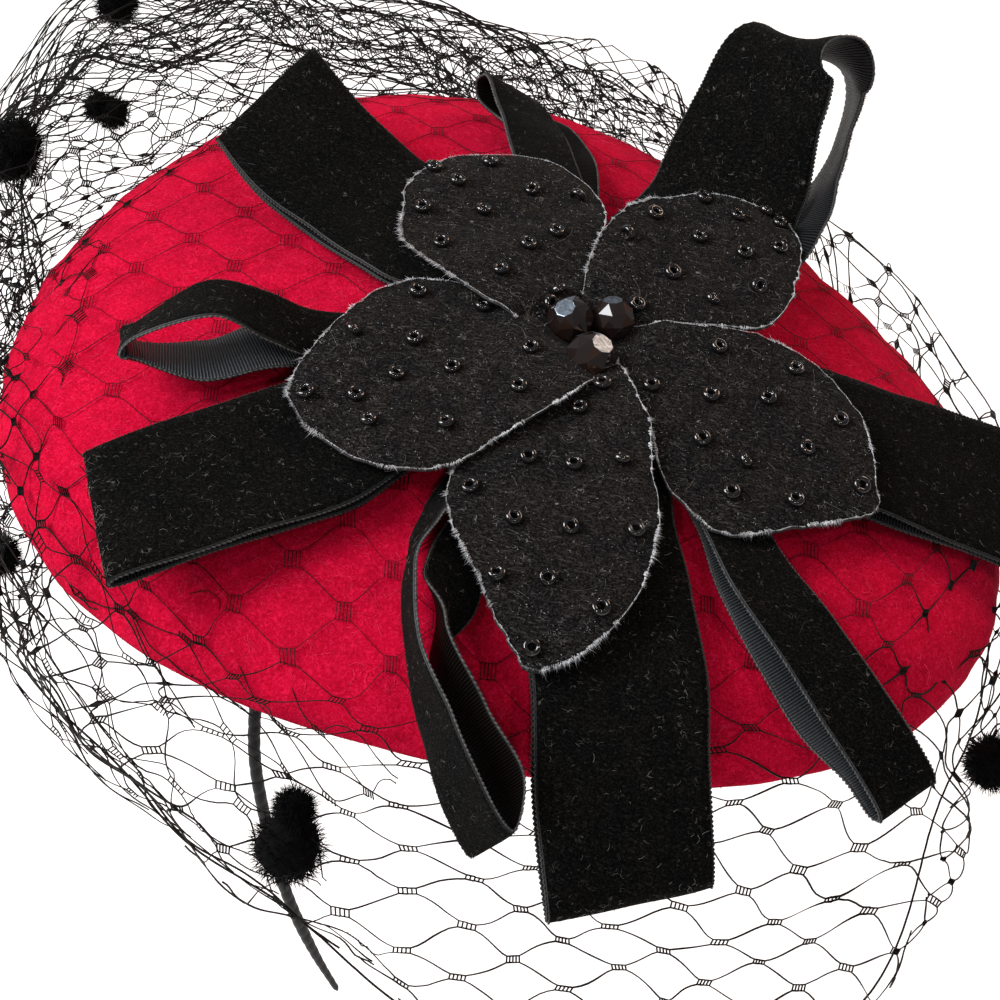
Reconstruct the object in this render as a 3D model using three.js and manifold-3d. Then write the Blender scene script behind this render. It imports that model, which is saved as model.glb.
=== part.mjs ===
// Fascinator: a domed felt crown on a wrapped headband, under a dotted net veil, with a
// velvet flower and nine velvet ribbon loops. Millimetres, +Z up. The origin is the
// underside of the headband's top, where it sits on the head.
import * as THREE from 'three';
import { mergeVertices } from 'three/addons/utils/BufferGeometryUtils.js';
import Module from 'manifold-3d';

const wasm = await Module();
wasm.setup();

// Driving dimensions
const gap = 0.3;                 // between pieces that lie on each other
const feltWall = 2.5;
const rimRadius = 75.8;          // mean radius of the felt's lower edge
const crownRise = 20;            // from the lower edge to the crown's top
const crownPower = 2.2;          // power of the crown's superellipse section
const rimLobes = [               // the felt's outline is a slightly uneven oval
  { turns: 2, cosine: 0.034, sine: -0.042 },
  { turns: 3, cosine: 0.026, sine: -0.045 },
];
const bandWire = 2.2;            // diameter of the wrapped headband
const veilWall = 1;
const ribbonWall = 1;
const wideRibbon = 25;
const narrowRibbon = 10;
const petalWall = 1;

const crownTop = bandWire + gap + feltWall;
const rimHeight = crownTop - crownRise;
const flowerCentre = { x: 11.5, y: -4.5 };

const black = { color: 0x0b0b0c, roughness: 0.95, metalness: 0 };
const finishes = {
  redFelt: { color: 0xb3123a, roughness: 0.95, metalness: 0 },
  velvet: black,
  flowerVelvet: { color: 0x1b1a1a, roughness: 0.95, metalness: 0 },
  net: { color: 0x141214, roughness: 0.6, metalness: 0 },
  chenille: { color: 0x080808, roughness: 1, metalness: 0 },
  wrappedWire: { color: 0x111112, roughness: 0.7, metalness: 0 },
  crystal: { color: 0x1a1820, roughness: 0.05, metalness: 0.3 },
};

const radians = THREE.MathUtils.degToRad;
const lerp = THREE.MathUtils.lerp;

// ---------- shared forms ----------

// Radius of the felt's lower edge in the direction az (radians).
function rimAt(az) {
  return rimRadius * rimLobes.reduce(
    (sum, { turns, cosine, sine }) => (
      sum + cosine * Math.cos(turns * az) + sine * Math.sin(turns * az)), 1);
}

// A point of the crown's section: share is 0 at the top and 1 at the edge, and grow moves
// the whole surface outwards (or inwards, if negative).
function crownPoint(az, share, grow) {
  const radius = (rimAt(az) + grow) * share;
  const height = (crownRise + grow) * (1 - share ** crownPower) ** (1 / crownPower);
  return { radius, height: rimHeight + height };
}

// Height of the crown's outer surface over the place x, y.
function crownHeight(x, y) {
  const az = Math.atan2(y, x);
  return crownPoint(az, Math.min(Math.hypot(x, y) / rimAt(az), 1), 0).height;
}

function polar(az, radius, height) {
  return new THREE.Vector3(radius * Math.cos(az), radius * Math.sin(az), height);
}

// A closed skin through rings of points that all hold the same number of points. A looped
// skin joins its last ring to its first; any other is closed with a flat fan at each end.
function skin(rings, looped = false) {
  const around = rings[0].length;
  const positions = rings.flat().flatMap((point) => point.toArray());
  const faces = [];
  const last = looped ? rings.length : rings.length - 1;
  for (let i = 0; i < last; i += 1) {
    const here = i * around;
    const next = ((i + 1) % rings.length) * around;
    for (let j = 0; j < around; j += 1) {
      const k = (j + 1) % around;
      faces.push(here + j, next + j, next + k, here + j, next + k, here + k);
    }
  }
  if (!looped) {
    const end = (rings.length - 1) * around;
    for (let j = 1; j < around - 1; j += 1) {
      faces.push(0, j, j + 1, end, end + j + 1, end + j);
    }
  }
  const geometry = new THREE.BufferGeometry();
  geometry.setAttribute('position', new THREE.Float32BufferAttribute(positions, 3));
  geometry.setIndex(faces);
  return outward(geometry);
}

// Turns a closed geometry's faces outwards, whichever way they were wound.
function outward(geometry) {
  const at = geometry.attributes.position;
  const index = geometry.index.array;
  const [a, b, c] = [new THREE.Vector3(), new THREE.Vector3(), new THREE.Vector3()];
  let volume = 0;
  for (let i = 0; i < index.length; i += 3) {
    a.fromBufferAttribute(at, index[i]);
    b.fromBufferAttribute(at, index[i + 1]);
    c.fromBufferAttribute(at, index[i + 2]);
    volume += a.dot(b.cross(c));
  }
  if (volume < 0) {
    for (let i = 0; i < index.length; i += 3) {
      [index[i + 1], index[i + 2]] = [index[i + 2], index[i + 1]];
    }
  }
  return geometry;
}

function toSolid(geometry) {
  const bare = geometry.clone();
  bare.deleteAttribute('normal');
  bare.deleteAttribute('uv');
  const merged = mergeVertices(bare, 1e-4);
  return new wasm.Manifold(new wasm.Mesh({
    numProp: 3,
    vertProperties: new Float32Array(merged.attributes.position.array),
    triVerts: new Uint32Array(merged.index.array),
  }));
}

function toGeometry(solid) {
  const mesh = solid.getMesh();
  const geometry = new THREE.BufferGeometry();
  geometry.setAttribute('position', new THREE.Float32BufferAttribute(mesh.vertProperties, 3));
  geometry.setIndex(Array.from(mesh.triVerts));
  return geometry;
}

const group = new THREE.Group();

function add(name, geometry, finish) {
  geometry.computeVertexNormals();
  const mesh = new THREE.Mesh(geometry, new THREE.MeshStandardMaterial(finish));
  mesh.name = name;
  group.add(mesh);
  return mesh;
}

// ---------- felt base ----------

// The felt and the net over it share these divisions, so their facets run side by side.
const divisions = 48;
const bareShares = [0.03];
const coveredShares = [0.22, 0.42, 0.6, 0.74, 0.85, 0.94];
const edgeShares = [0.985, 1];

function feltBase() {
  const shares = [...bareShares, ...coveredShares, ...edgeShares];
  const ring = (share, grow) => Array.from({ length: divisions }, (_, j) => {
    const az = (j / divisions) * 2 * Math.PI;
    const point = crownPoint(az, share, grow);
    return polar(az, point.radius, point.height);
  });
  const outer = shares.map((share) => ring(share, 0));
  const inner = shares.map((share) => ring(share, -feltWall)).reverse();
  return skin([...outer, ...inner]);
}

// ---------- headband ----------

// Half of the arch, in its own leaning plane: out from the middle and down from the top.
const bandArch = [
  { out: 0, down: 0 },
  { out: 22, down: 2.6 },
  { out: 41, down: 11 },
  { out: 53, down: 25 },
  { out: 57, down: 42 },
  { out: 56, down: 60 },
  { out: 52, down: 82 },
  { out: 46.5, down: 101 },
  { out: 41.5, down: 115 },
];
const bandTurn = radians(-124);  // direction of the front leg
const bandLean = radians(9.9);   // the arch's plane leans off the vertical

function headband() {
  const across = new THREE.Vector3(Math.cos(bandTurn), Math.sin(bandTurn), 0);
  const down = new THREE.Vector3(-Math.sin(bandTurn) * Math.sin(bandLean),
    Math.cos(bandTurn) * Math.sin(bandLean), -Math.cos(bandLean));
  const leg = (side) => bandArch.map(({ out, down: drop }) => new THREE.Vector3(0, 0, bandWire / 2)
    .addScaledVector(across, side * out).addScaledVector(down, drop));
  const path = new THREE.CatmullRomCurve3([...leg(1).reverse(), ...leg(-1).slice(1)]);
  const section = new THREE.Shape();
  section.absarc(0, 0, bandWire / 2, 0, 2 * Math.PI);
  return new THREE.ExtrudeGeometry(section, { steps: 42, curveSegments: 4, extrudePath: path });
}

// ---------- veil ----------

// The net's free part beyond the felt, round the compass: how high it crosses the felt's
// edge, its fall half way to its widest place, that place and its hem, as distances beyond
// the edge and heights over it.
const veilSkirt = [
  { at: -180, cross: 5, fallUp: 1, wideOut: 12, wideUp: -3, hemOut: 8, hemUp: -18 },
  { at: -150, cross: 4, fallUp: -2, wideOut: 5.5, wideUp: -8, hemOut: 1.5, hemUp: -23 },
  { at: -120, cross: 3.5, fallUp: -6, wideOut: 9, wideUp: -15, hemOut: 4, hemUp: -28 },
  { at: -95, cross: 2, fallUp: -17, wideOut: 16, wideUp: -23, hemOut: 14, hemUp: -33 },
  { at: -72, cross: 2, fallUp: -18, wideOut: 22, wideUp: -29, hemOut: 24, hemUp: -41 },
  { at: -45, cross: 1.5, fallUp: -17, wideOut: 21, wideUp: -26, hemOut: 19, hemUp: -39 },
  { at: -20, cross: 3.5, fallUp: -4, wideOut: 8, wideUp: -12, hemOut: 5, hemUp: -29 },
  { at: 15, cross: 6, fallUp: 3.5, wideOut: 9, wideUp: 1, hemOut: 8, hemUp: -16 },
  { at: 50, cross: 8, fallUp: 8, wideOut: 12, wideUp: 6, hemOut: 13, hemUp: -9 },
  { at: 85, cross: 8, fallUp: 9, wideOut: 12, wideUp: 8, hemOut: 16, hemUp: -6 },
  { at: 115, cross: 9, fallUp: 12, wideOut: 20, wideUp: 14, hemOut: 30, hemUp: 4 },
  { at: 145, cross: 8.5, fallUp: 11, wideOut: 26, wideUp: 12, hemOut: 37, hemUp: 1 },
];

// Smooth value of a column of the table at az (radians), round the full circle.
function skirtValue(column, az) {
  const degrees = THREE.MathUtils.radToDeg(az);
  const count = veilSkirt.length;
  const turned = ((degrees + 180) % 360 + 360) % 360 - 180;
  let i = count - 1;
  for (let k = 0; k < count; k += 1) if (veilSkirt[k].at <= turned) i = k;
  const start = veilSkirt[i].at;
  const end = i === count - 1 ? veilSkirt[0].at + 360 : veilSkirt[i + 1].at;
  const t = (turned - start) / (end - start);
  const at = (k) => veilSkirt[(k + count) % count][column];
  const [a, b, c, d] = [at(i - 1), at(i), at(i + 1), at(i + 2)];
  return b + 0.5 * t * (c - a + t * (2 * a - 5 * b + 4 * c - d + t * (3 * (b - c) + d - a)));
}

// Soft gathers of the skirt where the net is bunched behind the left side.
const gathers = { from: 100, to: 172, waves: 4, swing: 2.6 };

function gatherAt(az) {
  const t = (THREE.MathUtils.radToDeg(az) - gathers.from) / (gathers.to - gathers.from);
  if (t <= 0 || t >= 1) return 0;
  return gathers.swing * Math.sin(Math.PI * t) * Math.sin(2 * Math.PI * gathers.waves * t);
}

const veilLift = gap + veilWall / 2;
const veilSlack = 0.1;           // extra lift towards the crown's edge
const veilStandOff = 3;          // where it crosses the felt's edge

// The middle of the net's wall at az, from under the flower to the hem.
function veilProfile(az) {
  const onCrown = coveredShares.map((share) => {
    const point = crownPoint(az, share, veilLift + veilSlack * share);
    return new THREE.Vector2(point.radius, point.height);
  });
  const wave = gatherAt(az);
  const beyondEdge = (out, up, swing) => (
    new THREE.Vector2(rimAt(az) + out, rimHeight + skirtValue(up, az) + swing * wave));
  const wideOut = skirtValue('wideOut', az);
  const free = new THREE.SplineCurve([
    onCrown.at(-2), onCrown.at(-1),
    beyondEdge(veilStandOff, 'cross', 0.3),
    beyondEdge(0.4 * wideOut + 0.5, 'fallUp', 0.6),
    beyondEdge(wideOut, 'wideUp', 1),
    beyondEdge(skirtValue('hemOut', az), 'hemUp', 1.3),
  ]);
  const beyond = [0.3, 0.4, 0.5, 0.6, 0.7, 0.8, 0.9, 1].map((t) => free.getPoint(t));
  return [...onCrown, ...beyond];
}

function veil(dots) {
  const sides = [];
  for (let j = 0; j < divisions; j += 1) {
    const az = (j / divisions) * 2 * Math.PI;
    const middle = veilProfile(az);
    const wall = middle.map((point, i) => {
      const before = middle[Math.max(i - 1, 0)];
      const after = middle[Math.min(i + 1, middle.length - 1)];
      const along = after.clone().sub(before).normalize();
      const side = new THREE.Vector2(-along.y, along.x).multiplyScalar(veilWall / 2);
      return { out: point.clone().add(side), in: point.clone().sub(side) };
    });
    sides.push([...wall.map((w) => w.out), ...wall.map((w) => w.in).reverse()]
      .map((point) => polar(az, point.x, point.y)));
  }
  const shell = toSolid(skin(sides, true));
  const room = dots.map((dot) => toSolid(dotGeometry(dot, gap)));
  return toGeometry(room.reduce((solid, hole) => solid.subtract(hole), shell));
}

// ---------- chenille dots on the net ----------

const chenilleDots = [
  { name: 'chenille_dot_1', at: -102, share: 0.52, wide: 12, tall: 16 },
  { name: 'chenille_dot_2', at: -24, share: 0.7, wide: 11, tall: 12 },
  { name: 'chenille_dot_3', at: -146, share: 0.55, wide: 7.5, tall: 10 },
  { name: 'chenille_dot_4', at: 160, share: 0.67, wide: 11, tall: 13 },
  { name: 'chenille_dot_5', at: 149, share: 0.52, wide: 8, tall: 8 },
  { name: 'chenille_dot_6', at: 138, share: 0.85, wide: 10, tall: 11 },
];

// Where a dot sits: a share of the way along the free net, from the lift off to the hem.
function dotPlace(dot) {
  const az = radians(dot.at);
  const free = veilProfile(az).slice(coveredShares.length - 1);
  const step = dot.share * (free.length - 1);
  const i = Math.min(Math.floor(step), free.length - 2);
  const point = free[i].clone().lerp(free[i + 1], step - i);
  return polar(az, point.x, point.y);
}

function dotGeometry(dot, grow) {
  const geometry = new THREE.SphereGeometry(1, 10, 6);
  geometry.rotateX(Math.PI / 2);
  geometry.scale(dot.wide / 2 + grow, dot.wide / 2 + grow, dot.tall / 2 + grow);
  const place = dotPlace(dot);
  geometry.translate(place.x, place.y, place.z);
  return geometry;
}

// ---------- ribbon loops ----------

// Each loop runs out from the flower's centre in the direction turn, folds over and runs
// back under itself. A row is one place along the upper run: out and side from the centre
// and up from the origin, and drop, shift and pull lead down, sideways and inwards from it
// to the lower run. lean tips the ribbon's
// face, yaw skews its edge, and gather narrows it where it is sewn. A loop that opens
// sideways has the rows of its lower run in a list of their own, from the fold inwards.
const sewnUp = crownTop + gap + veilWall + gap + ribbonWall / 2 + ribbonWall + gap;
const sewn = { out: 17, up: sewnUp, drop: ribbonWall + gap, gather: 0.45 };
const ribbonLoops = [
  {
    name: 'wide_loop_1', width: wideRibbon, turn: 146,
    rows: [
      sewn,
      { out: 32, up: 8, drop: 1.4 },
      { out: 46, up: 7.3, drop: 1.5, lean: -2, leanUnder: -2 },
      { out: 60, side: 1, up: 9.6, drop: 3, lean: -8, leanUnder: -6, yaw: -5 },
      { out: 71.5, side: -1, up: 11.5, drop: 3.2, lean: -12, leanUnder: -11, yaw: -9 },
    ],
  },
  {
    name: 'wide_loop_2', width: wideRibbon, turn: 68,
    rows: [
      sewn,
      { out: 31, up: 7.1 },
      { out: 43, up: 5.4 },
      { out: 51, side: 1, up: 8.2, lean: -10, yaw: -5 },
      { out: 59.5, side: 2.5, up: 19.5, lean: -24, gather: 0.92 },
      { out: 66, side: 3, up: 27, lean: -26, gather: 0.85 },
    ],
    fold: { out: 70.5, side: -1.5, up: 27, lean: -28, yaw: 10, gather: 0.8 },
    under: [
      { out: 72.5, side: -9.5, up: 21.5, lean: -32, yaw: 66, gather: 0.9 },
      { out: 68, side: -12.5, up: 13.5, lean: -32, yaw: 72 },
      { out: 61, side: -13.5, up: 6, lean: -30, yaw: 66 },
      { out: 50, side: -12, up: 3.5, lean: -10, yaw: 30 },
      { out: 37, side: -5, up: 5.2, gather: 0.8 },
      { out: 17, up: sewnUp - ribbonWall - gap, gather: 0.45 },
    ],
  },
  {
    name: 'wide_loop_3', width: wideRibbon, turn: -1,
    rows: [
      sewn,
      { out: 32, side: -3, up: 7, drop: 1.4 },
      { out: 45, side: -3.5, up: 4.8, drop: 1.5, shift: -3, lean: 2, leanUnder: 2 },
      { out: 58, side: -2.5, up: 1.6, drop: 2, shift: -2.5, lean: 8, leanUnder: 8, yaw: -8 },
      { out: 70, side: 0, up: -2.8, drop: 2.4, shift: -2, lean: 12, leanUnder: 12, yaw: -12 },
      { out: 80, side: 3, up: -6.5, drop: 2.6, shift: -1, lean: 12, leanUnder: 12, yaw: -12 },
    ],
  },
  {
    name: 'wide_loop_4', width: wideRibbon - 1, turn: -75,
    rows: [
      sewn,
      { out: 31, side: -2, up: 6.5, drop: 1.4, gather: 0.84 },
      { out: 45, side: -3, up: 3.9, drop: 1.5 },
      { out: 58, side: -2, up: -0.4, drop: 1.7, lean: 2, leanUnder: 2 },
      { out: 69, side: -2, up: -7.8, drop: 2, pull: 0.8, lean: 5, leanUnder: 5, yaw: -5 },
      { out: 79.5, side: 0, up: -20.4, drop: 1.6, pull: 2, lean: 3, leanUnder: 3, yaw: -12 },
    ],
  },
  {
    name: 'wide_loop_5', width: wideRibbon - 0.5, turn: -145,
    rows: [
      sewn,
      { out: 31, side: 1.5, up: 7.9, drop: 1.4, gather: 0.82 },
      { out: 47, side: 4.2, up: 6.4, drop: 1.5 },
      { out: 62, side: 4.2, up: 5, drop: 2.4, yaw: 6 },
      { out: 78.5, side: 4, up: 2.2, drop: 3.2, yaw: 12 },
    ],
  },
  {
    name: 'narrow_loop_1', width: narrowRibbon, turn: -170,
    rows: [
      { ...sewn, out: 23, side: -2.5, gather: 0.6 },
      { out: 40.5, side: 1.2, up: 7.3, drop: 1.3, gather: 0.9 },
      { out: 48.5, side: 4, up: 13, drop: 7.8, shift: -2.5 },
      { out: 57, side: 5.5, up: 16.5, drop: 12.5, shift: -2 },
      { out: 65.5, side: 6, up: 12, drop: 7.5, shift: -1 },
    ],
  },
  {
    name: 'narrow_loop_2', width: narrowRibbon, turn: -95,
    rows: [
      { out: 20, side: -8, up: 6.4, gather: 0.4 },
      { out: 31, side: -12, up: 5.9, gather: 0.5, lean: 12 },
      { out: 41, side: -16.2, up: 5.8, gather: 0.65, lean: 48 },
      { out: 51, side: -13.8, up: 6.2, lean: 76 },
      { out: 61, side: -9.5, up: 2.6, lean: 68 },
      { out: 69, side: -4.5, up: -3.2, lean: 55 },
      { out: 75, side: 1.5, up: -10.8, lean: 48 },
    ],
    fold: { out: 76.5, side: 6.6, up: -17.4, lean: 50 },
    under: [
      { out: 72, side: 6, up: -10.2, lean: 50 },
      { out: 67, side: -0.8, up: -3.4, lean: 58 },
      { out: 60, side: -7.5, up: 3, lean: 85 },
      { out: 50.5, side: -8, up: 4.1, lean: 146, gather: 0.95 },
      { out: 38, side: -8, up: 5.3, lean: 172, gather: 0.55 },
      { out: 23, side: -3.5, up: 6.4, lean: 180, gather: 0.4 },
    ],
  },
  {
    name: 'narrow_loop_3', width: narrowRibbon, turn: -45,
    rows: [
      { ...sewn, out: 20, gather: 0.6 },
      { out: 34, side: -1.5, up: 6.2, drop: 1.4, gather: 0.9 },
      { out: 46, side: -4, up: 4.8, drop: 1.8, shift: -1.5 },
      { out: 57, side: -4, up: 2.4, drop: 2.6, shift: -2.5, lean: 8, leanUnder: 8 },
      { out: 67, side: -2.5, up: -3, drop: 2.6, shift: -2.5, pull: 0.6, lean: 12, leanUnder: 12 },
      { out: 74, side: 0, up: -8.8, drop: 2, shift: -2.5, pull: 1.8, lean: 14, leanUnder: 14 },
      { out: 78.5, side: 1.6, up: -13.8, drop: 1.8, shift: -2.5, pull: 2, lean: 14, leanUnder: 14 },
    ],
  },
  {
    name: 'narrow_loop_4', width: narrowRibbon, turn: 107,
    rows: [
      { ...sewn, out: 20, gather: 0.6 },
      { out: 36, side: -1, up: 7.8, drop: 1.4, shift: -2 },
      { out: 50, side: -1, up: 6.5, drop: 2, shift: -4, lean: 4 },
      { out: 61, side: -0.5, up: 5.2, drop: 3, shift: -3, lean: 18 },
      { out: 70, side: 1, up: 4, drop: 3.4, lean: 30, leanUnder: 10 },
    ],
  },
];

// The lower run that lies under an upper run's rows, from the fold inwards.
function underRows(rows) {
  return rows.map((row) => ({
    ...row,
    out: row.out - (row.pull ?? 0),
    side: (row.side ?? 0) + (row.shift ?? 0),
    up: row.up - row.drop,
    lean: row.leanUnder,
  })).reverse();
}

// The round of the fold between the ends of the two runs.
function foldBetween(rows, under) {
  const middle = (a, b) => ['out', 'side', 'up', 'lean', 'yaw']
    .reduce((row, key) => ({ ...row, [key]: ((a[key] ?? 0) + (b[key] ?? 0)) / 2 }), {});
  const end = middle(rows.at(-1), under[0]);
  const before = middle(rows.at(-2), under[1]);
  const bulge = 0.55 * Math.hypot(rows.at(-1).up - under[0].up, rows.at(-1).out - under[0].out);
  const step = bulge / Math.hypot(end.out - before.out, end.side - before.side, end.up - before.up);
  const onward = (key) => end[key] + step * (end[key] - before[key]);
  return { ...end, out: onward('out'), side: onward('side'), up: onward('up') };
}

function ribbonLoop({ width, turn, rows, under = underRows(rows), fold = foldBetween(rows, under) }) {
  const az = radians(turn);
  const outwards = new THREE.Vector3(Math.cos(az), Math.sin(az), 0);
  const side = new THREE.Vector3(-Math.sin(az), Math.cos(az), 0);
  const up = new THREE.Vector3(0, 0, 1);
  const stops = [...rows, fold, ...under];
  const places = stops.map((row) => new THREE.Vector3(flowerCentre.x, flowerCentre.y, row.up)
    .addScaledVector(outwards, row.out).addScaledVector(side, row.side ?? 0));
  const path = new THREE.CatmullRomCurve3(places, false, 'centripetal');
  const perStop = 3;
  const count = (stops.length - 1) * perStop;
  const rings = [];
  for (let i = 0; i <= count; i += 1) {
    const k = Math.min(Math.floor(i / perStop), stops.length - 2);
    const blend = THREE.MathUtils.smoothstep(i / perStop - k, 0, 1);
    const between = (key, usual) => lerp(stops[k][key] ?? usual, stops[k + 1][key] ?? usual, blend);
    const lean = radians(between('lean', 0));
    const yaw = radians(between('yaw', 0));
    const half = 0.5 * width * between('gather', 1);
    const middle = path.getPoint(i / count);
    const along = path.getTangent(i / count);
    const edge = side.clone().multiplyScalar(Math.cos(lean) * Math.cos(yaw))
      .addScaledVector(outwards, Math.cos(lean) * Math.sin(yaw)).addScaledVector(up, Math.sin(lean));
    edge.addScaledVector(along, -edge.dot(along)).normalize();
    const face = new THREE.Vector3().crossVectors(along, edge).multiplyScalar(ribbonWall / 2);
    rings.push([[1, 1], [-1, 1], [-1, -1], [1, -1]].map(([a, b]) => middle.clone()
      .addScaledVector(edge, a * half).addScaledVector(face, b)));
  }
  return skin(rings);
}

// ---------- flower ----------

// The petals, from the flower's centre: from is the share of the length where the inner end
// is cut, ccw and cw are the half widths on the two sides of the middle line, and base and
// tip are the heights over the felt at its two ends.
const petals = [
  { name: 'petal_1', turn: 128, from: 0.146, long: 46, ccw: 17, cw: 19, base: 7.6, tip: 6.6 },
  { name: 'petal_2', turn: 60, from: 0.151, long: 49.5, ccw: 14.5, cw: 16, base: 7.4, tip: 10 },
  { name: 'petal_3', turn: -22, from: 0.17, long: 49.5, ccw: 20, cw: 21, base: 7.4, tip: 6.6 },
  { name: 'petal_4', turn: -91.5, from: 0.17, long: 59.5, ccw: 13, cw: 16.5, base: 7.1, tip: 8.4 },
  { name: 'petal_5', turn: -145, from: 0.17, long: 49.5, ccw: 19, cw: 20, base: 7.9, tip: 7.2 },
];

const petalEnd = 0.985;          // share of the length where the tip is cut

// Each petal is tipped along its length, so its ccw edge lies over the next petal's cw edge.
const petalTip = { near: 0.2, far: 0.05, until: 0.5 };

function petalPoint(petal, t, across, offset) {
  const az = radians(petal.turn);
  const shape = Math.sin(Math.PI * t ** 1.15) ** 0.8;
  const out = t * petal.long;
  const side = across * shape * (across > 0 ? petal.ccw : petal.cw);
  const x = flowerCentre.x + out * Math.cos(az) - side * Math.sin(az);
  const y = flowerCentre.y + out * Math.sin(az) + side * Math.cos(az);
  const slope = lerp(petalTip.near, petalTip.far, Math.min(t / petalTip.until, 1));
  const height = crownHeight(x, y) + lerp(petal.base, petal.tip, t) + slope * side;
  return new THREE.Vector3(x, y, height + offset);
}

function petal(form) {
  const along = 9;
  const across = [-1, -0.6, 0, 0.6, 1];
  const rings = [];
  for (let i = 0; i <= along; i += 1) {
    const t = lerp(form.from, petalEnd, i / along);
    rings.push([
      ...across.map((a) => petalPoint(form, t, a, petalWall / 2)),
      ...across.map((a) => petalPoint(form, t, a, -petalWall / 2)).reverse(),
    ]);
  }
  return skin(rings);
}

// The three faceted crystals between the petals' inner ends, as places from the centre.
const crystals = [
  { name: 'crystal_1', x: -3.7, y: 1.4, radius: 3.1 },
  { name: 'crystal_2', x: 2.6, y: 3.4, radius: 3.1 },
  { name: 'crystal_3', x: 0.5, y: -6.2, radius: 3.5 },
];
const crystalHeight = 13;

function crystal({ x, y, radius }) {
  const profile = [
    [0, -0.92], [0.42, -0.92], [0.85, -0.5], [1, 0], [0.85, 0.5], [0.42, 0.92], [0, 0.92],
  ].map(([r, z]) => new THREE.Vector2(r * radius, z * radius));
  const geometry = new THREE.LatheGeometry(profile, 8);
  geometry.rotateX(Math.PI / 2);
  geometry.translate(flowerCentre.x + x, flowerCentre.y + y, crystalHeight);
  return geometry;
}

// ---------- assembly ----------

add('felt_base', feltBase(), finishes.redFelt);
add('headband', headband(), finishes.wrappedWire);
add('veil', veil(chenilleDots), finishes.net);
for (const dot of chenilleDots) add(dot.name, dotGeometry(dot, 0), finishes.chenille);
for (const loop of ribbonLoops) add(loop.name, ribbonLoop(loop), finishes.velvet);
for (const form of petals) add(form.name, petal(form), finishes.flowerVelvet);
for (const stone of crystals) add(stone.name, crystal(stone), finishes.crystal);

export default group;
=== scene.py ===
# A red felt fascinator with a dotted net, velvet ribbon loops and a beaded velvet flower.
# Lengths in the tables are millimetres; meshes are in metres, +Z up.
import math

import bpy
import numpy as np
from mathutils import Matrix, Vector

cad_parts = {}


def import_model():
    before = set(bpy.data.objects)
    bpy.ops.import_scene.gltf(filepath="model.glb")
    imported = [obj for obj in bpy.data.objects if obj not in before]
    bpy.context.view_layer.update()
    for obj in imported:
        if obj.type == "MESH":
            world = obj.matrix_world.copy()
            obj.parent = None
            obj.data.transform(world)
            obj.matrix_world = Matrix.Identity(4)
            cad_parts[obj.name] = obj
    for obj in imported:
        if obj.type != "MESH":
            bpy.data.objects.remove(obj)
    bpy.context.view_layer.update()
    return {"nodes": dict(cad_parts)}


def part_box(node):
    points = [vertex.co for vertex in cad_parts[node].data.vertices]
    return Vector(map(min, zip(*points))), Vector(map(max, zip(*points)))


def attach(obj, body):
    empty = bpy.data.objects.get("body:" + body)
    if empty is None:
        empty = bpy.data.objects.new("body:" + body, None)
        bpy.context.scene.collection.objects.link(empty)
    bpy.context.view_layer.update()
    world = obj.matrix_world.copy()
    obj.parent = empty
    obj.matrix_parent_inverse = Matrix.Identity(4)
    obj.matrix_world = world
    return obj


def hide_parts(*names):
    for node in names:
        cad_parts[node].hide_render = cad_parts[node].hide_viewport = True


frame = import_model()
print("frame loaded:", len(frame["nodes"]), "nodes")

mm = 0.001


def unit(v):
    return v / np.maximum(np.linalg.norm(v, axis=-1, keepdims=True), 1e-12)


def lerp(a, b, t):
    return a + (b - a) * t


def smooth(t):
    t = np.clip(t, 0, 1)
    return t * t * (3 - 2 * t)


def polar(az, radius, height):
    return np.stack([radius * np.cos(az), radius * np.sin(az), height + 0 * az], -1)


def anglesOf(count):
    return 2 * math.pi * np.arange(count) / count


def onFlat(x, y=0):
    return np.stack([x, y + 0 * x, 0 * x], -1)


# The length run so far at each point of a path, and its points at other lengths.
def lengthAlong(path):
    return np.concatenate([[0], np.cumsum(np.linalg.norm(np.diff(path, axis=0), axis=1))])


def atLengths(at, length, path):
    return np.stack([np.interp(at, length, column) for column in path.T], -1)


# Low rolling noise over points, made of a few sine waves; about -1 to 1.
def ripple(points, size, seed):
    waves = 7
    own = np.random.default_rng(seed)
    total = np.zeros(points.shape[:-1])
    for _ in range(waves):
        way = unit(own.normal(size=3)) / (size * own.uniform(0.6, 1.6))
        total += np.sin(2 * math.pi * (points @ way) + own.uniform(0, 2 * math.pi))
    return total / math.sqrt(waves)


def makeMesh(name, points, faces, materials, slots=None, isSmooth=True, uv=None):
    mesh = bpy.data.meshes.new(name)
    mesh.from_pydata((points * mm).tolist(), [], [list(map(int, f)) for f in faces])
    for material in materials:
        mesh.materials.append(material)
    if slots is not None:
        mesh.polygons.foreach_set("material_index", np.asarray(slots, np.int32))
    mesh.polygons.foreach_set("use_smooth", np.full(len(mesh.polygons), isSmooth))
    if uv is not None:
        layer = mesh.uv_layers.new(name="cloth")
        corner = np.zeros(len(mesh.loops), np.int32)
        mesh.loops.foreach_get("vertex_index", corner)
        layer.data.foreach_set("uv", uv[corner].astype(np.float32).ravel())
    mesh.validate()
    piece = bpy.data.objects.new(name, mesh)
    bpy.context.scene.collection.objects.link(piece)
    return piece


# Joins (points, faces) parts into one.
def joined(parts):
    points, faces, start = [], [], 0
    for own, ownFaces in parts:
        points.append(own)
        faces.extend((f + start) for f in ownFaces)
        start += len(own)
    return np.concatenate(points), faces


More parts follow.
